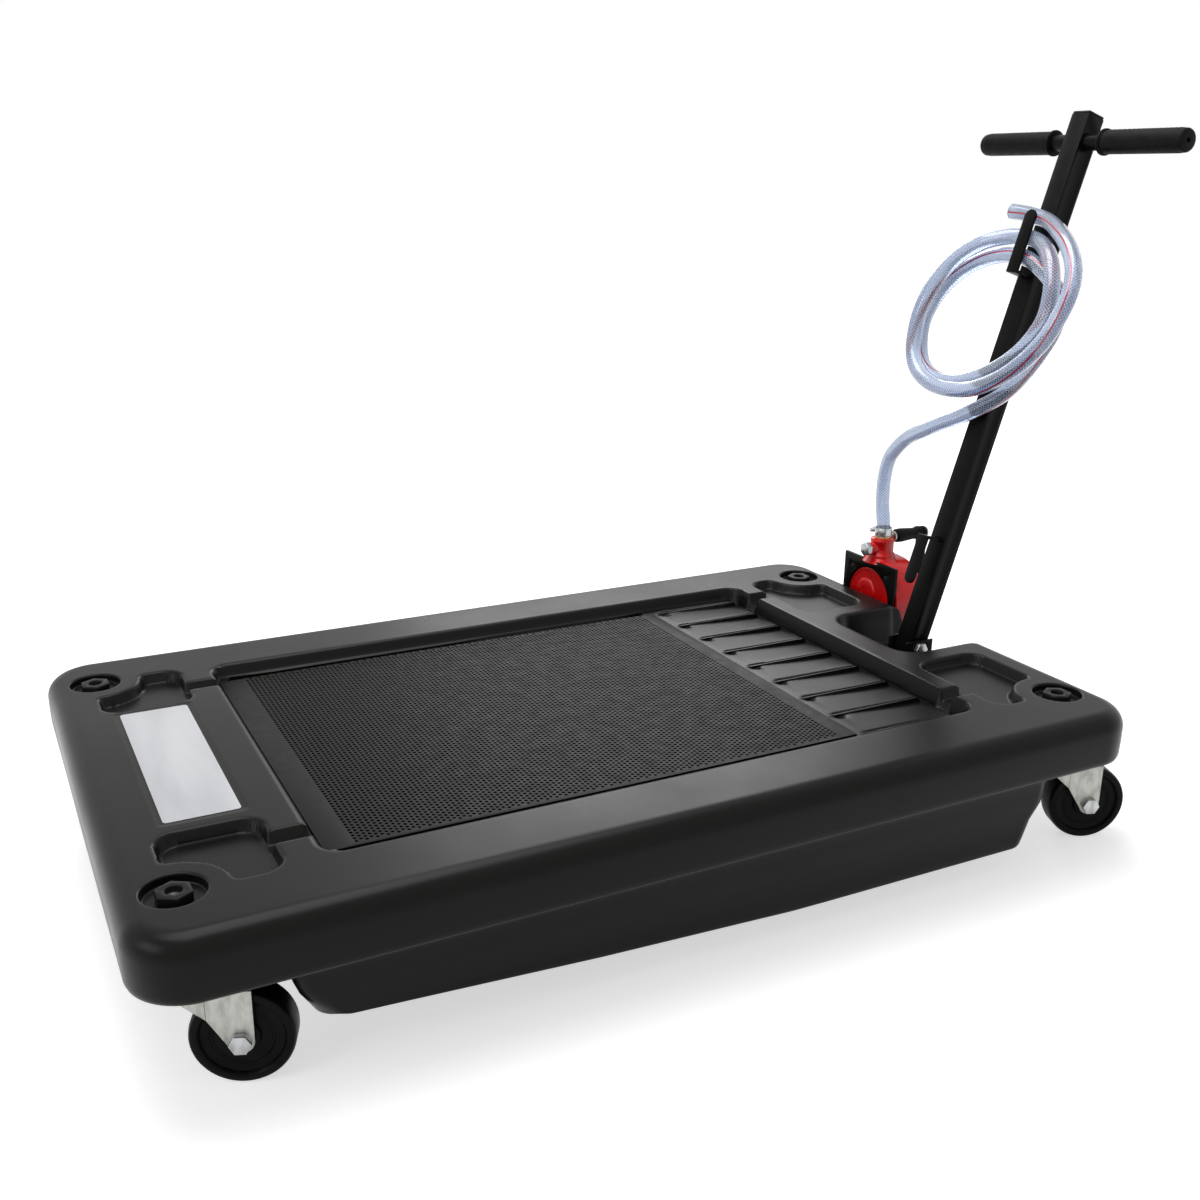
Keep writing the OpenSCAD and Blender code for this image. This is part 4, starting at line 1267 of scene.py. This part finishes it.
def make_grips():
    """Two rubber grips with a diamond tread, a flange by the tube and a rounded end."""
    rubber = finish_of("rubber")
    around, bar = 56, along_handle(BAR_S, 0, 0)
    tread_low, tread_high, tread_depth, twist = 49, 171, 0.75, 0.42
    rows = [(11.2, 43.0), (16.6, 43.0), (17.5, 43.8), (17.5, 46.2), (16.6, 47.2), (15.0, 47.8)]
    rows += [(15.0, v) for v in np.linspace(50, 170, 96)]
    rows += [(15.2, 172), (15.0, 175), (14, 177), (12, 178), (3.2, 178), (3.0, 177), (3.0, 168)]
    for side, node in ((-1, "grip_left"), (1, "grip_right")):
        points = []
        for radius, v in rows:
            for k in range(around):
                a = math.tau * k / around
                r = radius
                if tread_low < v < tread_high:
                    diamonds = min(abs(math.sin(a * 7 + v * twist)), abs(math.sin(a * 7 - v * twist)))
                    ends = min(1.0, (v - tread_low) / 3, (tread_high - v) / 3)
                    r += tread_depth * min(1.0, 2.4 * diamonds) * ends
                points.append((bar[0] + r * math.cos(a), side * v, bar[2] + r * math.sin(a)))
        faces = ring_faces(len(rows), around)
        faces += [tuple(range(around)), tuple(range((len(rows) - 1) * around, len(rows) * around))]
        grip = add_object(node.title(), mesh_of(node, points, faces, 60), rubber)
        finished(grip, "handle", "grip_rubber", node)


def make_pump():
    """The hand pump on its plate, with its cover, outlet, plug, clamp and suction pipe."""
    edge = bpy.context.scene.drainer_metal.edge
    red, bright = finish_of("red"), finish_of("fastener")
    face, py, pz = PUMP
    along, up = (1, 0, 0), (0, 0, 1)
    dress_nodes("root", "black_steel", "black", edge, "pump_plate")
    dress_nodes("root", "zinc", "fastener", edge, "priming_plug", "suction_flange")
    dress_nodes("root", "zinc", "dark_nut", edge, "plate_bolts", "pump_bolts")
    dress_nodes("root", "red_paint", "red", 2.2, "pump_body", "pump_rear_cover")

    disc = [(0.001, 6), (49, 6), (49, 3.2), (48.2, 2.4), (45.5, 2.2), (44.6, 3.1), (30, 3.1), (0.001, 3.1)]
    cover = turned("cover", disc, (face, py, pz), along, red, 72)
    hub = [(0.001, 3.4), (22, 3.4), (21.2, 2.2), (20, 1.2), (18.2, 0.7), (9, 0.7), (8.4, 1.4), (0.001, 1.4)]
    boss = turned("boss", hub, (face, py + 8, SHAFT_Z), along, red, 48)
    finished(merged("Pump_cover", red, cover, boss), "root", "red_paint", "pump_front_cover")

    flare = [
        (0.001, 246), (29, 246), (26, 248.5), (22.5, 251), (21, 253), (21.2, 256.5), (20.6, 258.4),
        (19, 259.6), (18, 262), (18, 276), (18.7, 277), (18.7, 281), (17.8, 282.6), (16.5, 283), (0.001, 283),
    ]
    neck = turned("neck", flare, (OUTLET_X, py, 0), up, red, 48)
    spigot = [(0.001, 0), (10, 0), (10, 23), (9.2, 25.6), (8, 26), (0.001, 26)]
    side = turned("side", spigot, (OUTLET_X, py, 268), (-1, 0, 0), red, 32)
    finished(merged("Pump_outlet", red, neck, side), "root", "red_paint", "pump_outlet")
    dress_nodes("root", "bronze", "bronze", 0.3, "hose_barb")

    def by_outlet(u, v, h):
        return (OUTLET_X + u, py + v, h)

    band = [(12.5, 288), (13.2, 288), (13.4, 288.3), (13.4, 299.7), (13.2, 300), (12.5, 300)]
    ring = turned("ring", band + [band[0]], by_outlet(0, 0, 0), up, bright, 64)
    box = [(-7, 10.5), (9, 10.5), (9, 17), (-7, 17)]
    house = prism("house", box, by_outlet, 289.2, 298.8, bright, 1.2)
    screw = polygon_bar("screw", 7, 6, by_outlet(-13, 14.5, 294), along, 7, bright, 0.5)
    strip = [(8, 12.6), (19, 15.6), (19, 16.2), (8, 13.3)]
    tail = prism("tail", strip, by_outlet, 288.6, 299.4, bright, 0.2)
    finished(merged("Hose_clamp", bright, ring, house, screw, tail), "root", "zinc", "hose_clamp")
    dress_nodes("root", "black_cap", "cap", 0.3, "suction_pipe", "shaft_seal")


def make_crank():
    """The pump's shaft, rotor, vanes, arm and grip."""
    edge = bpy.context.scene.drainer_metal.edge
    dress_nodes("crank", "zinc", "zinc", edge / 2, "pump_shaft", "pump_rotor", "crank_nut", "crank_pin")
    dress_nodes("crank", "zinc", "black", edge, "crank_arm")
    dress_nodes("crank", "black_cap", "cap", 0.2, "pump_vanes")
    dress_nodes("crank_grip", "grip_rubber", "rubber", 0.6, "crank_grip")


def make_label():
    """The bare label plate."""
    dress_nodes("root", "label_film", "label", 0.2, "blank_label")


# ---------------------------------------------------------------- operators, panel and start


class DRAINER_OT_view(bpy.types.Operator):
    """Makes the camera that looks over the side rail"""

    bl_idname = "drainer.view"
    bl_label = "Camera"

    def execute(self, context):
        make_camera()
        return {"FINISHED"}


class DRAINER_OT_hose(bpy.types.Operator):
    """Makes the clear hose, looped over the handle's hook"""

    bl_idname = "drainer.hose"
    bl_label = "Hose"

    def execute(self, context):
        make_hose()
        return {"FINISHED"}


class DRAINER_OT_stage(bpy.types.Operator):
    """Makes the floor, the surroundings and the lights"""

    bl_idname = "drainer.stage"
    bl_label = "Stage"

    def execute(self, context):
        make_stage()
        return {"FINISHED"}


class DRAINER_OT_deck(bpy.types.Operator):
    """Makes the moulded tank with its pockets, ribs and rounded rim"""

    bl_idname = "drainer.deck"
    bl_label = "Moulded tank"

    def execute(self, context):
        make_deck()
        make_label()
        return {"FINISHED"}


class DRAINER_OT_screen(bpy.types.Operator):
    """Makes the perforated screen and its border"""

    bl_idname = "drainer.screen"
    bl_label = "Screen"

    def execute(self, context):
        make_screen()
        return {"FINISHED"}


class DRAINER_OT_casters(bpy.types.Operator):
    """Makes the four casters with their stems and nuts"""

    bl_idname = "drainer.casters"
    bl_label = "Casters"

    def execute(self, context):
        make_casters()
        return {"FINISHED"}


class DRAINER_OT_handle(bpy.types.Operator):
    """Makes the handle, its bracket, hooks and grips"""

    bl_idname = "drainer.handle"
    bl_label = "Handle"

    def execute(self, context):
        make_handle()
        make_grips()
        return {"FINISHED"}


class DRAINER_OT_pump(bpy.types.Operator):
    """Makes the hand pump with its crank"""

    bl_idname = "drainer.pump"
    bl_label = "Pump"

    def execute(self, context):
        make_pump()
        make_crank()
        return {"FINISHED"}


STEPS = (
    DRAINER_OT_view, DRAINER_OT_hose, DRAINER_OT_stage, DRAINER_OT_deck, DRAINER_OT_screen,
    DRAINER_OT_casters, DRAINER_OT_handle, DRAINER_OT_pump,
)
SETTINGS = (
    ("drainer_deck", DrainerDeck), ("drainer_screen", DrainerScreen), ("drainer_hose", DrainerHose),
    ("drainer_metal", DrainerMetal), ("drainer_stage", DrainerStage),
)


class DRAINER_PT_panel(bpy.types.Panel):
    """Lists the steps that build the drainer and their settings"""

    bl_idname = "DRAINER_PT_panel"
    bl_label = "Oil drainer"
    bl_space_type = "VIEW_3D"
    bl_region_type = "UI"
    bl_category = "Drainer"

    def draw(self, context):
        column = self.layout.column(align=True)
        for operator in STEPS:
            column.operator(operator.bl_idname)
        for name, group in SETTINGS:
            box = self.layout.box()
            box.label(text=group.__doc__)
            for field in group.__annotations__:
                box.prop(getattr(context.scene, name), field)


def register():
    """Adds the settings, operators and panel."""
    for name, group in SETTINGS:
        bpy.utils.register_class(group)
        setattr(bpy.types.Scene, name, bpy.props.PointerProperty(type=group))
    for cls in (*STEPS, DRAINER_PT_panel):
        bpy.utils.register_class(cls)


def unregister():
    """Removes the panel, operators and settings."""
    for cls in (DRAINER_PT_panel, *reversed(STEPS)):
        bpy.utils.unregister_class(cls)
    for name, group in reversed(SETTINGS):
        delattr(bpy.types.Scene, name)
        bpy.utils.unregister_class(group)


def main():
    """Builds everything in order."""
    register()
    for operator in STEPS:
        group, name = operator.bl_idname.split(".")
        if getattr(getattr(bpy.ops, group), name)() != {"FINISHED"}:
            raise RuntimeError(f"{operator.bl_label} did not finish")


if __name__ == "__main__":
    main()
